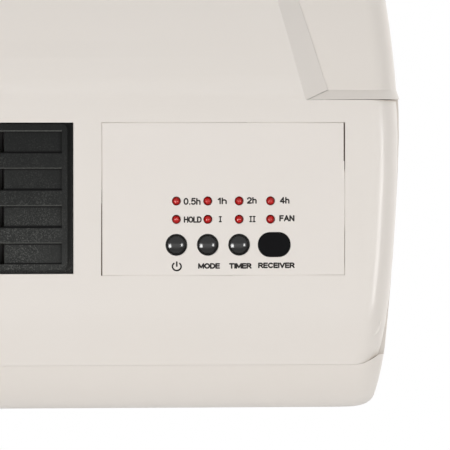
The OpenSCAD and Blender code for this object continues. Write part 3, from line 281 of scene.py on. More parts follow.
# Finishes. Colours are linear; "other" is the tone that the colour drifts to.
finishes = {
    "warmWhiteCover": {"kind": "plastic", "color": (0.780, 0.736, 0.690), "other": (0.768, 0.720, 0.668),
                       "rough": 0.31, "size": 22, "amount": 0.4, "grain": 1500, "depth": 0.000004,
                       "strength": 0.10, "specular": 0.27},
    "warmWhiteHousing": {"kind": "plastic", "color": (0.770, 0.725, 0.677), "other": (0.756, 0.708, 0.654),
                         "rough": 0.32, "size": 18, "amount": 0.4, "grain": 1500, "depth": 0.000004,
                         "strength": 0.12, "specular": 0.27},
    "warmWhitePanel": {"kind": "plastic", "color": (0.785, 0.740, 0.696), "other": (0.775, 0.726, 0.678),
                       "rough": 0.36, "size": 35, "amount": 0.5, "grain": 2600, "depth": 0.000006,
                       "strength": 0.15, "specular": 0.27},
    # for the grille, other is also the tone of its painted shade towards the top, and edge the tone of its
    # painted highlights
    "sparkedBlack": {"kind": "sparked", "color": (0.0260, 0.0270, 0.0255), "other": (0.0030, 0.0036, 0.0034),
                     "speck": (0.120, 0.122, 0.114), "edge": (0.080, 0.082, 0.076), "rough": 0.50,
                     "size": 160, "amount": 0.5, "spread": 70, "speckShine": 0.12, "grain": 2500,
                     "depth": 0.00004, "strength": 0.7, "specular": 0.12, "shadeSpan": (-0.048, -0.092)},
    "windowBlack": {"kind": "plastic", "color": (0.004, 0.004, 0.005), "other": (0.006, 0.005, 0.005),
                    "rough": 0.12, "size": 60, "amount": 0.5, "grain": 3000, "depth": 0.000002,
                    "strength": 0.05, "specular": 0.04},
    "lampRed": {"kind": "lamp", "color": (0.640, 0.010, 0.008), "other": (0.420, 0.005, 0.005),
                "rough": 0.12, "size": 700, "amount": 0.7, "glow": 0.25, "glowReach": (0.002, 0.0003, 0.0003),
                "glowScale": 0.5},
    "buttonBlack": {"kind": "plastic", "color": (0.012, 0.012, 0.012), "other": (0.009, 0.009, 0.009),
                    "rough": 0.13, "size": 90, "amount": 0.5, "grain": 3500, "depth": 0.000004,
                    "strength": 0.08, "specular": 0.42},
    # painted shade: a dark brown for parts of the panel's gap
    "gapShade": {"kind": "plastic", "color": (0.060, 0.032, 0.020), "other": (0.110, 0.068, 0.046),
                "rough": 0.85, "size": 300, "amount": 0.9, "grain": 3000, "depth": 0.00002,
                "strength": 0.3, "specular": 0.2},
    "switchBlack": {"kind": "plastic", "color": (0.020, 0.020, 0.021), "other": (0.032, 0.032, 0.033),
                    "rough": 0.45, "size": 200, "amount": 0.6, "grain": 2500, "depth": 0.00002,
                    "strength": 0.3},
    "solderGreen": {"kind": "board", "color": (0.030, 0.150, 0.050), "other": (0.055, 0.240, 0.085),
                    "rough": 0.30, "tracks": 260, "trackWide": 0.10, "size": 60, "amount": 0.6, "grain": 900,
                    "depth": 0.00001, "strength": 0.15},
    "zincSteel": {"kind": "metal", "color": (0.600, 0.590, 0.560), "other": (0.420, 0.420, 0.410),
                  "rough": 0.32, "along": (1, 1, 1)},
    "relayBlue": {"kind": "plastic", "color": (0.022, 0.085, 0.290), "other": (0.018, 0.070, 0.240),
                  "rough": 0.35, "size": 120, "amount": 0.6, "grain": 2200, "depth": 0.00001,
                  "strength": 0.2},
    "capacitorYellow": {"kind": "plastic", "color": (0.600, 0.360, 0.035), "other": (0.520, 0.300, 0.030),
                        "rough": 0.40, "size": 150, "amount": 0.6, "grain": 1800, "depth": 0.00002,
                        "strength": 0.3},
    "cableGrey": {"kind": "layers", "color": (0.460, 0.450, 0.425), "other": (0.240, 0.235, 0.220),
                  "rough": 0.48, "across": (1, 0, 0), "pitch": 0.00127},
    "terminalWhite": {"kind": "plastic", "color": (0.720, 0.700, 0.650), "other": (0.660, 0.630, 0.570),
                      "rough": 0.40, "size": 110, "amount": 0.6, "grain": 1800, "depth": 0.00001,
                      "strength": 0.2},
    "blackRubber": {"kind": "plastic", "color": (0.018, 0.018, 0.018), "other": (0.034, 0.033, 0.031),
                    "rough": 0.72, "size": 130, "amount": 0.7, "grain": 1600, "depth": 0.00004,
                    "strength": 0.4},
    "wheelGrey": {"kind": "plastic", "color": (0.045, 0.047, 0.050), "other": (0.075, 0.076, 0.078),
                  "rough": 0.50, "size": 140, "amount": 0.7, "grain": 1900, "depth": 0.00003,
                  "strength": 0.35, "dustAndShade": 0.35},
    "groundSteel": {"kind": "metal", "color": (0.560, 0.560, 0.560), "other": (0.400, 0.405, 0.410),
                    "rough": 0.22, "along": (1, 0.03, 0.03)},
    "stackedSteel": {"kind": "layers", "color": (0.230, 0.232, 0.236), "other": (0.060, 0.060, 0.062),
                     "rough": 0.42, "across": (1, 0, 0), "pitch": 0.0005, "metallic": 0.85},
    "copperWinding": {"kind": "layers", "color": (0.480, 0.150, 0.050), "other": (0.130, 0.035, 0.014),
                      "rough": 0.34, "across": (1, 0.15, 0), "pitch": 0.0004, "metallic": 0.3},
    "castAluminium": {"kind": "metal", "color": (0.540, 0.545, 0.550), "other": (0.400, 0.405, 0.410),
                      "rough": 0.42, "along": (1, 1, 1)},
    "sinteredBronze": {"kind": "metal", "color": (0.480, 0.300, 0.140), "other": (0.300, 0.180, 0.080),
                       "rough": 0.46, "along": (1, 1, 1)},
    "ductPlastic": {"kind": "plastic", "color": (0.620, 0.600, 0.550), "other": (0.560, 0.535, 0.480),
                    "rough": 0.48, "size": 40, "amount": 0.7, "grain": 1500, "depth": 0.00002,
                    # the last pair gives the depths over which the duct's front gets painted shade
                    "strength": 0.25, "dustAndShade": 0.5, "outletShade": (-0.085, -0.065)},
    "frameBlack": {"kind": "plastic", "color": (0.012, 0.011, 0.010), "other": (0.022, 0.020, 0.018),
                   "rough": 0.55, "size": 120, "amount": 0.6, "grain": 1900, "depth": 0.00003,
                   "strength": 0.35, "specular": 0.15},
    "finAluminium": {"kind": "metal", "color": (0.640, 0.640, 0.620), "other": (0.480, 0.480, 0.460),
                     "rough": 0.30, "along": (0.05, 1, 1)},
    "terminalBrass": {"kind": "metal", "color": (0.640, 0.450, 0.180), "other": (0.460, 0.300, 0.110),
                      "rough": 0.30, "along": (0.05, 1, 1)},
    "bracketZinc": {"kind": "metal", "color": (0.560, 0.565, 0.570), "other": (0.440, 0.445, 0.450),
                    "rough": 0.36, "along": (0.04, 1, 1)},
    "printInk": {"kind": "plastic", "color": (0.016, 0.014, 0.013), "other": (0.028, 0.024, 0.021),
                 "rough": 0.5, "size": 500, "amount": 0.6, "grain": 4000, "depth": 0.000004,
                 "strength": 0.1, "specular": 0.16},
}
roughDrift = 0.04


def placeGroup(tree, name, values):
    return addNode(tree, "ShaderNodeGroup", node_tree=groups[name], ins=values).outputs


def opaque(colour):
    return (*colour, 1.0)


def addMottle(tree, finish, colour, other):
    return placeGroup(tree, "mottle", {"Color": colour, "Other": other, "Size": finish["size"],
                                       "Amount": finish["amount"]})


def addGrain(tree, finish):
    return placeGroup(tree, "grain", {"Size": finish["grain"], "Depth": finish["depth"],
                                      "Strength": finish["strength"]})["Normal"]


def dressPlastic(tree, shader, finish):
    tone = addMottle(tree, finish, opaque(finish["color"]), opaque(finish["other"]))
    colour = tone["Color"]
    if "dustAndShade" in finish:
        colour = placeGroup(tree, "dustAndShade", {"Color": colour, "Amount": finish["dustAndShade"]})["Color"]
    # painted shade towards the duct's front
    if "outletShade" in finish:
        start, end = finish["outletShade"]
        colour = placeGroup(tree, "outletShade", {"Color": colour, "Start": start, "End": end})["Color"]
    drift = mathNode(tree, "MULTIPLY", tone["Mask"], roughDrift)
    gloss = mathNode(tree, "ADD", drift, finish["rough"] - roughDrift / 2)
    feed(tree, shader, {"Base Color": colour, "Normal": addGrain(tree, finish), "Roughness": gloss})


def dressMetal(tree, shader, finish):
    lines = placeGroup(tree, "brushing", {"Color": opaque(finish["color"]), "Other": opaque(finish["other"]),
                                          "Along": finish["along"], "Rough": finish["rough"]})
    feed(tree, shader, {"Base Color": lines["Color"], "Roughness": lines["Roughness"],
                        "Normal": lines["Normal"], "Metallic": 1.0})


def dressLayers(tree, shader, finish):
    sheets = placeGroup(tree, "layers", {"Color": opaque(finish["color"]), "Groove": opaque(finish["other"]),
                                         "Across": finish["across"], "Pitch": finish["pitch"]})
    feed(tree, shader, {"Base Color": sheets["Color"], "Normal": sheets["Normal"],
                        "Roughness": finish["rough"], "Metallic": finish.get("metallic", 0.0)})


def dressBoard(tree, shader, finish):
    # solder mask with faint copper tracks under it
    green, copper = opaque(finish["color"]), opaque(finish["other"])
    place = objectPlace(tree, (1, 0.001, 1))
    flat = addNode(tree, "ShaderNodeMapping", ins={"Vector": place,
                                                   "Rotation": (math.pi / 2, 0, 0)}).outputs[0]
    tracks = addNode(tree, "ShaderNodeTexBrick", offset=0.5, ins={
        "Vector": flat, "Scale": finish["tracks"], "Mortar Size": finish["trackWide"], "Color1": green,
        "Color2": green, "Mortar": copper}).outputs["Color"]
    feed(tree, shader, {"Base Color": addMottle(tree, finish, tracks, green)["Color"],
                        "Normal": addGrain(tree, finish), "Roughness": finish["rough"]})


def dressLamp(tree, shader, finish):
    tone = addMottle(tree, finish, opaque(finish["color"]), opaque(finish["other"]))
    feed(tree, shader, {"Base Color": tone["Color"], "Roughness": finish["rough"],
                        "Subsurface Weight": finish["glow"], "Subsurface Radius": finish["glowReach"],
                        "Subsurface Scale": finish["glowScale"]})


def dressSparked(tree, shader, finish):
    tone = addMottle(tree, finish, opaque(finish["color"]), opaque(finish["other"]))
    high, low = finish["shadeSpan"]
    # painted shade towards the top, and painted highlights and shade along the edges
    dots = placeGroup(tree, "specksLightShade", {"Color": tone["Color"], "Speck": opaque(finish["speck"]),
                                       "Highlight": opaque(finish["edge"]), "Shaded": opaque(finish["other"]),
                                       "Size": finish["grain"], "Spread": finish["spread"], "High": high,
                                       "Low": low})
    shine = mathNode(tree, "MULTIPLY", dots["Mask"], finish["speckShine"])
    feed(tree, shader, {"Base Color": dots["Color"], "Normal": addGrain(tree, finish),
                        "Roughness": mathNode(tree, "SUBTRACT", finish["rough"], shine)})


dressings = {"plastic": dressPlastic, "metal": dressMetal, "layers": dressLayers, "board": dressBoard,
             "lamp": dressLamp, "sparked": dressSparked}


def newMaterial(name):
    material = bpy.data.materials.new(name)
    material.use_nodes = True
    return material, material.node_tree, material.node_tree.nodes["Principled BSDF"]


def makeFinish(name):
    finish = finishes[name]
    material, tree, shader = newMaterial(name)
    if "specular" in finish:
        shader.inputs["Specular IOR Level"].default_value = finish["specular"]
    dressings[finish["kind"]](tree, shader, finish)
    return material


materials = {name: makeFinish(name) for name in finishes}
print("finishes made:", len(materials))

# Which finish each record slot gets
slotFinish = {
    "white_cover": "warmWhiteCover", "white_housing": "warmWhiteHousing", "panel_white": "warmWhitePanel",
    "black_grille": "sparkedBlack", "window_black": "windowBlack", "led_red": "lampRed",
    "button_black": "buttonBlack", "switch_black": "switchBlack", "circuit_board": "solderGreen",
    "zinc_steel": "zincSteel", "relay_blue": "relayBlue", "capacitor_yellow": "capacitorYellow",
    "cable_grey": "cableGrey", "terminal_white": "terminalWhite", "black_rubber": "blackRubber",
    "wheel_grey": "wheelGrey", "shaft_steel": "groundSteel", "stack_steel": "stackedSteel",
    "coil_copper": "copperWinding", "frame_aluminium": "castAluminium", "bearing_bronze": "sinteredBronze",
    "duct_plastic": "ductPlastic", "frame_black": "frameBlack", "fin_aluminium": "finAluminium",
    "terminal_brass": "terminalBrass", "bracket_steel": "bracketZinc",
}
nodeSlot = {part["node"]: part["material_slot"] for part in frame["record"]["subparts"]}
for name, node in nodes.items():
    for held in node.material_slots:
        held.material = materials[slotFinish[nodeSlot[name]]]
print("finishes set on", len(nodes), "nodes")

# Meshes. Lengths in the settings down to the panel's printing are in mm, angles in degrees.
shaping = {"weld": 0.002, "flatBelow": 0.4, "smoothBelow": 40, "flatWeight": 80}


def finishMesh(bm, name, material):
    mesh = bpy.data.meshes.new(name)
    bm.to_mesh(mesh)
    bm.free()
    if "custom_normal" in mesh.attributes:
        mesh.attributes.remove(mesh.attributes["custom_normal"])
    mesh.materials.clear()
    mesh.materials.append(material)
    mesh.shade_smooth()
    return addObject(name, mesh)


def smoothEdges(bm, angle):
    for edge in bm.edges:
        edge.smooth = edge.calc_face_angle(0) < math.radians(angle)


def weighNormals(piece):
    weigh = piece.modifiers.new("flatFaces", "WEIGHTED_NORMAL")
    weigh.weight, weigh.keep_sharp = shaping["flatWeight"], True


# Rigid mouldings whose edges get their small radii
softened = {
    "front_cover": {"piece": "frontCover", "radius": 0.30, "angle": 22, "sharpBelow": -126.2},
    "rear_housing": {"piece": "rearHousing", "radius": 0.42, "angle": 22, "closeTo": "front_cover"},
    "control_panel": {"piece": "controlPanel", "radius": 0.18, "angle": 40, "roundWindow": True},
    "outlet_grille": {"piece": "outletGrille", "radius": 0.22, "angle": 40, "paintedLight": True},
    "intake_grille": {"piece": "intakeGrille", "radius": 0.30, "angle": 40},
    "receiver_window": {"piece": "receiverWindow", "radius": 0.18, "angle": 40, "roundWindow": True},
    "status_leds": {"piece": "statusLeds", "radius": 0, "angle": 40, "shrinkLeds": True},
    "wall_bracket": {"piece": "wallBracket", "radius": 0.20, "angle": 40},
}
seam = {"reach": 0.35, "left": 0.05, "cornerX": 211.5, "cornerY": -103.0, "cornerZ": -120.0,
        "cornerReach": 1.9, "cornerDrop": 0.55}
window = {"x": 179.5, "z": -87.7, "wide": 11.6, "high": 8.8, "corner": 3.6, "rounder": 4.3,
          "slack": 0.01, "inner": 0.3, "outer": 1.4}
leds = {"columns": (145.2, 156.2, 167.2, 178.2), "rows": (-72.4, -78.8), "front": -115.9, "share": 0.93,
        "down": 0.10}
blind = {"edge": 85.65, "reach": 0.3, "shift": -0.4}


def mergedCopy(node):
    bm = bmesh.new()
    bm.from_mesh(nodes[node].data)
    bmesh.ops.remove_doubles(bm, verts=bm.verts, dist=shaping["weld"] * mm)
    bmesh.ops.dissolve_limit(bm, angle_limit=math.radians(shaping["flatBelow"]), verts=bm.verts,
                             edges=bm.edges, use_dissolve_boundaries=False)
    return bm


def closeSeam(bm, other):
    # the housing's rim is drawn up to the cover, so that the seam is a fine line
    neighbour = mergedCopy(other)
    tree = BVHTree.FromBMesh(neighbour)
    neighbour.free()
    for v in bm.verts:
        corner = (abs(v.co.x) > seam["cornerX"] * mm and v.co.y < seam["cornerY"] * mm
                  and v.co.z < seam["cornerZ"] * mm)
        near, _, _, gap = tree.find_nearest(v.co, seam["cornerReach" if corner else "reach"] * mm)
        if corner and near and 0 < near.z - v.co.z < seam["cornerDrop"] * mm:
            v.co.z = near.z - seam["left"] * mm
        elif near and not corner and gap > seam["left"] * mm:
            v.co = near + (v.co - near) * (seam["left"] * mm / gap)


def roundWindow(bm):
    # the receiver's window has nearly half-round ends
    corner = window["corner"]
    turnX, turnZ = window["wide"] / 2 - corner, window["high"] / 2 - corner
    wider = window["rounder"] - corner
    for v in bm.verts:
        x, z = v.co.x / mm - window["x"], v.co.z / mm - window["z"]
        offX, offZ = abs(x) - turnX, abs(z) - turnZ
        reach = math.hypot(offX, offZ)
        rounded = corner - window["inner"] <= reach <= corner + window["outer"]
        if min(offX, offZ) < -window["slack"] or not rounded:
            continue
        grown = (reach + wider) / reach
        v.co.x = (window["x"] + math.copysign(turnX - wider + offX * grown, x)) * mm
        v.co.z = (window["z"] + math.copysign(turnZ - wider + offZ * grown, z)) * mm


def shrinkLeds(bm):
    # the lamps hang a little low in their holes
    for v in bm.verts:
        if v.co.y > leds["front"] * mm:
            continue
        x = min(leds["columns"], key=lambda column: abs(column - v.co.x / mm))
        z = min(leds["rows"], key=lambda row: abs(row - v.co.z / mm))
        v.co.x = (x + (v.co.x / mm - x) * leds["share"]) * mm
        v.co.z = (z - leds["down"] + (v.co.z / mm - z) * leds["share"]) * mm


slots = {"rows": ((-94.4, -87.18), (-81.38, -74.15), (-68.35, -61.13), (-55.33, -48.1)),
         "ends": (-193.0, 105.2), "front": -117.0, "plate": -115.7, "slack": 0.1, "shade": 0.5, "lit": 0.4}
# how far a face has to turn each way, as a part of its normal, and the painted highlight of one that looks
# sideways
paintedLight = {"down": 0.25, "up": 0.3, "ahead": 0.3, "flat": 0.9, "side": 0.25, "sideLight": 0.35}


def moveBlind(bm):
    # the closed end of the slots starts where the photograph has it
    for v in bm.verts:
        if abs(v.co.x / mm - blind["edge"]) < blind["reach"]:
            v.co.x += blind["shift"] * mm


def paintLightShade(bm):
    # edges that face forward and down get a painted highlight, and so does the front just above the top slot;
    # faces that look up, and the plate along each slot's upper and lower rim, get painted shade in black
    cuts = [((0, 0, z), (0, 0, 1)) for low, high in slots["rows"]
            for z in (low + slots["shade"], high - slots["shade"])]
    top = slots["rows"][-1][1]
    cuts += [((0, 0, top), (0, 0, 1)), ((0, 0, top + slots["lit"]), (0, 0, 1))]
    cuts += [((x, 0, 0), (1, 0, 0)) for x in slots["ends"]]
    for place, normal in cuts:
        bmesh.ops.bisect_plane(bm, geom=bm.verts[:] + bm.edges[:] + bm.faces[:], plane_co=Vector(place) * mm,
                               plane_no=normal)
    # 1 is a painted highlight, -1 painted shade, and the share given to sideways faces a fainter painted
    # highlight
    layer = bm.faces.layers.float.new("lightShade")
    for face in bm.faces:
        face.normal_update()
        down, front, side = -face.normal.z, -face.normal.y, abs(face.normal.x)
        x, y, z = face.calc_center_median() / mm
        rim = any(low <= z < low + slots["shade"] or high - slots["shade"] < z <= high
                  for low, high in slots["rows"])
        flat = front > paintedLight["flat"] and slots["ends"][0] < x < slots["ends"][1]
        lit = flat and y < slots["front"] + slots["slack"] and 0 < z - top < slots["lit"]
        if lit or (down > paintedLight["down"] and front > paintedLight["ahead"]):
            face[layer] = 1.0
        elif down < -paintedLight["up"] or (flat and rim and abs(y - slots["plate"]) < slots["slack"]):
            face[layer] = -1.0
        else:
            face[layer] = paintedLight["sideLight"] if side > paintedLight["side"] and front > paintedLight["ahead"] else 0.0


def soften(node, settings):
    bm = mergedCopy(node)
    if "closeTo" in settings:
        closeSeam(bm, settings["closeTo"])
    if "roundWindow" in settings:
        roundWindow(bm)
    if "shrinkLeds" in settings:
        shrinkLeds(bm)
    lowest = settings.get("sharpBelow", -1000) * mm
    sharp = [edge for edge in bm.edges if edge.is_manifold and edge.is_convex
             and edge.calc_face_angle(0) > math.radians(settings["angle"])
             and max(v.co.z for v in edge.verts) > lowest]
    if settings["radius"]:
        bmesh.ops.bevel(bm, geom=sharp, offset=settings["radius"] * mm, offset_type="OFFSET", segments=2,
                        profile=0.5, affect="EDGES", clamp_overlap=True, material=-1)
    # moves the blind end, then marks the grille's faces for painted highlights and painted shade
    if "paintedLight" in settings:
        moveBlind(bm)
        paintLightShade(bm)
    smoothEdges(bm, shaping["smoothBelow"])
    piece = finishMesh(bm, settings["piece"], materials[slotFinish[nodeSlot[node]]])
    weighNormals(piece)
    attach(piece, "heater")
    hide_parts(node)


for node, settings in softened.items():
    soften(node, settings)
    print("softened", node)

# Push buttons: a shallow dome, a groove round it, a barrel, a flange and a stem
button = {
    "columns": {"power": 145.2, "mode": 156.2, "timer": 167.2}, "z": -87.7, "crown": -118.1, "domeR": 6.15,
    "domeSteps": 10, "rimR": 2.98, "barrelR": 3.62, "flangeFront": -115.7, "flangeBack": -114.7,
    "flangeR": 4.55, "stemR": 1.7, "steps": 72, "smoothBelow": 35,
    # radius, depth
    "groove": [(3.05, -117.12), (3.09, -116.95), (3.11, -116.75), (3.16, -116.62), (3.62, -116.50)],
}


def turnProfile(points, x, z, steps):
    # spins a profile of (radius, depth) about a line that runs straight back
    bm = bmesh.new()
    made = [bm.verts.new(((x + radius) * mm, depth * mm, z * mm)) for radius, depth in points]
    edges = [bm.edges.new(pair) for pair in zip(made, made[1:])]
    bmesh.ops.spin(bm, geom=made + edges, cent=(x * mm, 0, z * mm), axis=(0, 1, 0), angle=2 * math.pi,
                   steps=steps, use_merge=True)
    bmesh.ops.remove_doubles(bm, verts=bm.verts, dist=shaping["weld"] * mm)
    bmesh.ops.recalc_face_normals(bm, faces=bm.faces)
    return bm


def makeButton(key, x):
    node = key + "_button"
    steepest = math.asin(button["rimR"] / button["domeR"])
    angles = [steepest * i / button["domeSteps"] for i in range(button["domeSteps"] + 1)]
    dome = [(button["domeR"] * math.sin(a), button["crown"] + button["domeR"] * (1 - math.cos(a)))
            for a in angles]
    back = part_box(node)[1].y / mm
    tail = [(button["barrelR"], button["flangeFront"]), (button["flangeR"], button["flangeFront"]),
            (button["flangeR"], button["flangeBack"]), (button["stemR"], button["flangeBack"]),
            (button["stemR"], back), (0, back)]
    bm = turnProfile(dome + button["groove"] + tail, x, button["z"], button["steps"])
    smoothEdges(bm, button["smoothBelow"])
    piece = finishMesh(bm, key + "Button", materials["buttonBlack"])
    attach(piece, key + "_key")
    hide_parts(node)


for key, x in button["columns"].items():
    makeButton(key, x)
print("buttons turned")

# Strips that seat the panel, so that its gap is deep in some places and nearly closed in others, and dark
# brown strips of painted shade along parts of the gap
seat = {
    "gap": 0.27, "x": (119.0, 204.4), "z": (-98.5, -44.9), "face": -118.0, "thick": 0.3,
    # side, from, to, depth below the face at each end, width at each end
    "runs": [
        ("left", -44.9, -69.5, 0.16, 0.35, 0.27, 0.27),
        ("top", 119.0, 170.0, 0.22, 0.10, 0.27, 0.27), ("top", 170.0, 204.4, 0.10, 0.25, 0.27, 0.27),
        ("bottom", 119.0, 165.0, 0.10, 0.03, 0.40, 0.40), ("bottom", 165.0, 204.4, 0.03, 0.05, 0.40, 0.40),
        ("right", -61.5, -64.0, 0.60, 0.08, 0.27, 0.27), ("right", -64.0, -78.0, 0.08, 0.08, 0.27, 0.27),
        ("right", -78.0, -84.0, 0.08, 0.60, 0.27, 0.27), ("right", -84.0, -93.0, 0.60, 0.60, 0.27, 0.27),
        ("right", -93.0, -98.5, 0.60, 0.12, 0.27, 0.27),
    ],
    # strips of painted shade along parts of the gap
    "dustAndShade": [
        ("left", -68.5, -76.0, 0.02, -0.012, 0.15, 0.30),
        ("left", -76.0, -98.4, -0.012, -0.012, 0.30, 0.44),
        ("right", -45.1, -58.0, -0.012, -0.012, 0.26, 0.25),
        ("right", -58.0, -63.0, -0.012, 0.10, 0.25, 0.15),
    ],
    "shadeShift": {"left": -0.08, "right": -0.26},
}


def joinInto(target, part):
    mesh = bpy.data.meshes.new("part")
    part.to_mesh(mesh)
    part.free()
    target.from_mesh(mesh)
    bpy.data.meshes.remove(mesh)


def makeSeat(runs, shift, name, finish):
    strips = bmesh.new()
    (left, right), (bottom, top), middle = seat["x"], seat["z"], seat["gap"] / 2
    for side, start, end, near, far, narrow, wide in runs:
        bm = bmesh.new()
        bmesh.ops.create_grid(bm, x_segments=1, y_segments=1, size=0.5)
        for v in bm.verts:
            along, across = v.co.x + 0.5, v.co.y
            depth = near + (far - near) * along
            run = start + (end - start) * along
            edge = across * (narrow + (wide - narrow) * along) + shift.get(side, 0)
            x = {"left": left + middle + edge, "right": right - middle + edge}.get(side, run)
            z = {"bottom": bottom + middle + edge, "top": top - middle + edge}.get(side, run)
            v.co = Vector((x * mm, (seat["face"] + depth) * mm, z * mm))
        bmesh.ops.recalc_face_normals(bm, faces=bm.faces)
        for face in bm.faces:
            face.normal_update()
            if face.normal.y > 0:
                face.normal_flip()
        bmesh.ops.solidify(bm, geom=bm.faces[:], thickness=seat["thick"] * mm)
        joinInto(strips, bm)
    piece = finishMesh(strips, name, materials[finish])
    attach(piece, "heater")


makeSeat(seat["runs"], {}, "panelSeat", "warmWhiteHousing")
# painted shade laid into parts of the panel's gap
makeSeat(seat["dustAndShade"], seat["shadeShift"], "gapShade", "gapShade")
print("panel seated")

# Printing on the panel: function words, lamp times and the stand-by sign.
# A glyph is its width and its strokes, of points or arcs (middle, radii, start, end), in units of its height.
glyphs = {
    "0": (0.54, [[(0.27, 0.5, 0.27, 0.5, 90, 450)]]),
    "1": (0.22, [[(0, 0.76), (0.2, 1), (0.2, 0)]]),
    "2": (0.54, [[(0.27, 0.72, 0.26, 0.28, 165, -38), (0.0, 0.0), (0.54, 0.0)]]),
    "4": (0.60, [[(0.44, 0), (0.44, 1), (0, 0.28), (0.60, 0.28)]]),
    "5": (0.54, [[(0.50, 1), (0.10, 1), (0.04, 0.54), (0.26, 0.33, 0.28, 0.33, 120, -150)]]),
    ".": (0.08, [[(0.04, 0.0), (0.04, 0.03)]]),
    "h": (0.46, [[(0, 0), (0, 1)], [(0.23, 0.44, 0.23, 0.24, 180, 0), (0.46, 0)]]),
    "H": (0.62, [[(0, 0), (0, 1)], [(0.62, 0), (0.62, 1)], [(0, 0.53), (0.62, 0.53)]]),
    "O": (0.74, [[(0.37, 0.5, 0.37, 0.5, 90, 450)]]),
    "L": (0.48, [[(0, 1), (0, 0), (0.48, 0)]]),
    "D": (0.66, [[(0.28, 0.5, 0.38, 0.5, 90, -90), (0, 0), (0, 1), (0.28, 1)]]),
    "F": (0.54, [[(0, 0), (0, 1), (0.54, 1)], [(0, 0.52), (0.46, 0.52)]]),
    "A": (0.72, [[(0, 0), (0.36, 1), (0.72, 0)], [(0.13, 0.33), (0.59, 0.33)]]),
    "N": (0.64, [[(0, 0), (0, 1), (0.64, 0), (0.64, 1)]]),
    "M": (0.78, [[(0, 0), (0, 1), (0.39, 0.12), (0.78, 1), (0.78, 0)]]),
    "E": (0.54, [[(0.54, 0), (0, 0), (0, 1), (0.54, 1)], [(0, 0.52), (0.50, 0.52)]]),
    "T": (0.64, [[(0, 1), (0.64, 1)], [(0.32, 1), (0.32, 0)]]),
    "I": (0.02, [[(0, 0), (0, 1)]]),
    "R": (0.62, [[(0, 0), (0, 1), (0.32, 0.74, 0.27, 0.26, 90, -90), (0, 0.48)], [(0.32, 0.48), (0.62, 0)]]),
    "C": (0.68, [[(0.37, 0.5, 0.37, 0.5, 48, 312)]]),
    "V": (0.66, [[(0, 1), (0.33, 0), (0.66, 1)]]),
    "serifOne": (0.34, [[(0.17, 0), (0.17, 1)], [(0, 0), (0.34, 0)], [(0, 1), (0.34, 1)]]),
    "standby": (1.0, [[(0.5, 0.5, 0.5, 0.5, 132, 408)], [(0.5, 0.55), (0.5, 1.04)]]),
}
printing = {
    "face": -118.02, "thick": 0.04, "letterGap": 0.24, "arcStep": 15, "sharp": 40, "roundness": 2,
    # angles round each stroke's end at which the tube thins
    "endTurns": (30, 55, 80),
    "words": [
        # letters, left, right, bottom, height, stroke
        ("0.5h", 147.65, 153.65, -73.75, 2.44, 0.50),
        ("1h", 159.65, 162.85, -73.55, 2.34, 0.50),
        ("2h", 169.85, 173.35, -73.4, 2.34, 0.50),
        ("4h", 181.4, 184.85, -73.4, 2.36, 0.50),
        ("HOLD", 147.75, 154.05, -80.0, 2.22, 0.50),
        (["serifOne"], 160.0, 161.1, -79.85, 2.16, 0.42),
        (["serifOne"], 170.7, 171.78, -79.85, 2.20, 0.42),
        (["serifOne"], 171.85, 172.95, -79.85, 2.20, 0.42),
        ("FAN", 181.25, 186.6, -79.6, 2.22, 0.52),
        ("MODE", 152.75, 160.45, -96.1, 2.0, 0.54),
        ("TIMER", 163.6, 171.55, -96.1, 2.0, 0.54),
        ("RECEIVER", 173.8, 186.7, -95.95, 2.0, 0.54),
        (["standby"], 143.5, 147.1, -96.95, 3.4, 0.55),
    ],
}


def strokePoints(stroke):
    points = []
    for item in stroke:
        if len(item) == 2:
            points.append(item)
            continue
        midX, midZ, wide, high, start, end = item
        count = max(2, round(abs(end - start) / printing["arcStep"]))
        for i in range(count + 1):
            a = math.radians(start + (end - start) * i / count)
            points.append((midX + wide * math.cos(a), midZ + high * math.sin(a)))
    return points


def splitCorners(points):
    # a bent tube thins at a sharp corner, so each straight there is a tube of its own
    parts, part = [], points[:1]
    for i in range(1, len(points)):
        part.append(points[i])
        if i + 1 < len(points):
            before = Vector(points[i]) - Vector(points[i - 1])
            after = Vector(points[i + 1]) - Vector(points[i])
            if before.length and after.length and before.angle(after) > math.radians(printing["sharp"]):
                parts.append(part)
                part = [points[i]]
    return parts + [part]


def roundEnds(spots, radius):
    # gives each spot its share of the radius, and lets the stroke's tube run out in a half round
    turns = [math.radians(a) for a in printing["endTurns"]]

    def cap(end, before):
        away = (end - before).normalized() * radius
        return [(end + away * math.sin(a), math.cos(a)) for a in turns]

    return cap(spots[0], spots[1])[::-1] + [(spot, 1.0) for spot in spots] + cap(spots[-1], spots[-2])


def printWord(ink, letters, left, right, bottom, height, stroke):
    lines, x = [], 0
    for letter in letters:
        wide, strokes = glyphs[letter]
        parts = [part for line in strokes for part in splitCorners(strokePoints(line))]
        lines += [[(x + px, pz) for px, pz in part] for part in parts]
        x += wide + printing["letterGap"]
    spread = (right - left - stroke) / (x - printing["letterGap"])
    rise = height - stroke
    start, low = left + stroke / 2, bottom + stroke / 2
    curve = bpy.data.curves.new("word", "CURVE")
    curve.dimensions, curve.use_fill_caps = "3D", True
    curve.bevel_depth, curve.bevel_resolution = stroke / 2 * mm, printing["roundness"]
    for line in lines:
        spline = curve.splines.new("POLY")
        spots = roundEnds([Vector((start + px * spread, 0, low + pz * rise)) for px, pz in line], stroke / 2)
        spline.points.add(len(spots) - 1)
        for point, (spot, share) in zip(spline.points, spots):
            point.co, point.radius = (*(spot * mm), 1), share
    holder = addObject("word", curve)
    bpy.context.view_layer.update()
    mesh = bpy.data.meshes.new_from_object(holder.evaluated_get(bpy.context.evaluated_depsgraph_get()))
    bpy.data.objects.remove(holder)
    for v in mesh.vertices:
        v.co.y = (printing["face"] + v.co.y / mm * printing["thick"] / stroke) * mm
    ink.from_mesh(mesh)
    bpy.data.meshes.remove(mesh)


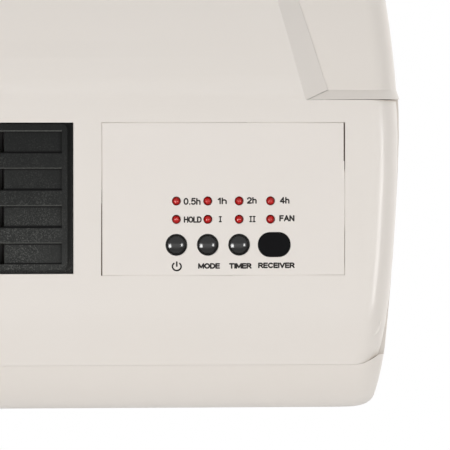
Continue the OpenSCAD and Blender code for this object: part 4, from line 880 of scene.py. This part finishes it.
def makePrinting():
    ink = bmesh.new()
    for word in printing["words"]:
        printWord(ink, *word)
    piece = finishMesh(ink, "panelPrinting", materials["printInk"])
    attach(piece, "heater")


makePrinting()
print("panel printed")

# Floor, light and background, in metres
studio = {
    "floorZ": -0.80, "floorSize": 3.0, "floorSides": 96, "floorColor": (0.86, 0.85, 0.84), "floorRough": 0.8,
    "floorDrift": 0.97, "driftSize": 3.0, "driftAmount": 0.5,
    # what the world gives matt surfaces from above and from below, and the share of it on the right
    "fill": 0.630, "lowFill": 0.11, "rightShare": 0.74, "fillSpan": (-0.5, 0.5),
    "lampColor": (1.0, 0.995, 0.99),
}


def makeFloor():
    bm = bmesh.new()
    bmesh.ops.create_circle(bm, cap_ends=True, radius=studio["floorSize"], segments=studio["floorSides"])
    bmesh.ops.translate(bm, verts=bm.verts, vec=(0, 0, studio["floorZ"]))
    material, tree, shader = newMaterial("paleFloor")
    other = tuple(studio["floorDrift"] * c for c in studio["floorColor"])
    tone = placeGroup(tree, "mottle", {"Color": opaque(studio["floorColor"]), "Other": opaque(other),
                                       "Size": studio["driftSize"], "Amount": studio["driftAmount"]})
    feed(tree, shader, {"Base Color": tone["Color"], "Roughness": studio["floorRough"]})
    floor = finishMesh(bm, "floor", material)


def makeWorld():
    # the camera, mirrors and clear parts see plain white; matt surfaces get a gentler light
    world = bpy.data.worlds.new("studio")
    world.use_nodes = True
    scene.world = world
    tree = world.node_tree
    tree.nodes.clear()
    direction = addNode(tree, "ShaderNodeTexCoord").outputs["Generated"]
    level = rangeNode(tree, axisOf(tree, direction, 2), *studio["fillSpan"], studio["lowFill"],
                      studio["fill"])
    share = rangeNode(tree, axisOf(tree, direction, 0), 0.0, 1.0, 1.0, studio["rightShare"])
    white = (1, 1, 1, 1)
    light = addNode(tree, "ShaderNodeBackground", ins={"Color": white,
                                                       "Strength": mathNode(tree, "MULTIPLY", level, share)})
    plain = addNode(tree, "ShaderNodeBackground", ins={"Color": white, "Strength": 1.0})
    path = addNode(tree, "ShaderNodeLightPath").outputs
    mirrored = mathNode(tree, "MAXIMUM", path["Is Glossy Ray"], path["Is Transmission Ray"])
    seen = mathNode(tree, "MAXIMUM", path["Is Camera Ray"], mirrored)
    mixed = addNode(tree, "ShaderNodeMixShader", ins={0: seen, 1: light.outputs[0], 2: plain.outputs[0]})
    addNode(tree, "ShaderNodeOutputWorld", ins={"Surface": mixed.outputs[0]})


panelAim = (0.164, -0.118, -0.083)
# name, place, aim, width, height, power, and what it lights: matt, gloss or all
lamps = [
    ("keyLeft", (-0.607, -1.04, -0.20), panelAim, 0.36, 0.45, 3.8, "all"),
    ("keyLeftGlow", (-0.600, -1.03, -0.29), panelAim, 0.32, 0.38, 8.2, "gloss"),
    ("sideRight", (0.935, -1.04, -0.14), panelAim, 0.30, 0.42, 2.15, "all"),
    ("sideRightGlow", (0.925, -1.03, -0.16), panelAim, 0.20, 0.26, 3.7, "gloss"),
    ("tableGlow", (0.160, -1.15, -0.27), panelAim, 1.30, 0.60, 2.2, "gloss"),
    ("rimRight", (1.350, 0.55, 0.15), (0.220, -0.060, -0.060), 0.50, 0.90, 10.0, "matt"),
    ("overhead", (0.160, -0.50, 1.35), (0.160, -0.118, -0.050), 0.90, 0.40, 1.95, "all"),
    ("lowFront", (0.200, -1.20, -0.39), (0.150, -0.100, -0.090), 1.20, 0.30, 1.2, "matt"),
]


def makeLamps():
    for name, place, aim, width, height, power, lights in lamps:
        data = bpy.data.lights.new(name, "AREA")
        data.shape = "RECTANGLE"
        data.size, data.size_y = width, height
        data.energy, data.color = power, studio["lampColor"]
        lamp = addObject(name, data)
        pointAt(lamp, place, aim)
        lamp.visible_camera = False
        lamp.visible_diffuse = lights != "gloss"
        lamp.visible_glossy = lights != "matt"


makeFloor()
makeWorld()
makeLamps()
scene.view_settings.view_transform = "Standard"
print("studio ready")
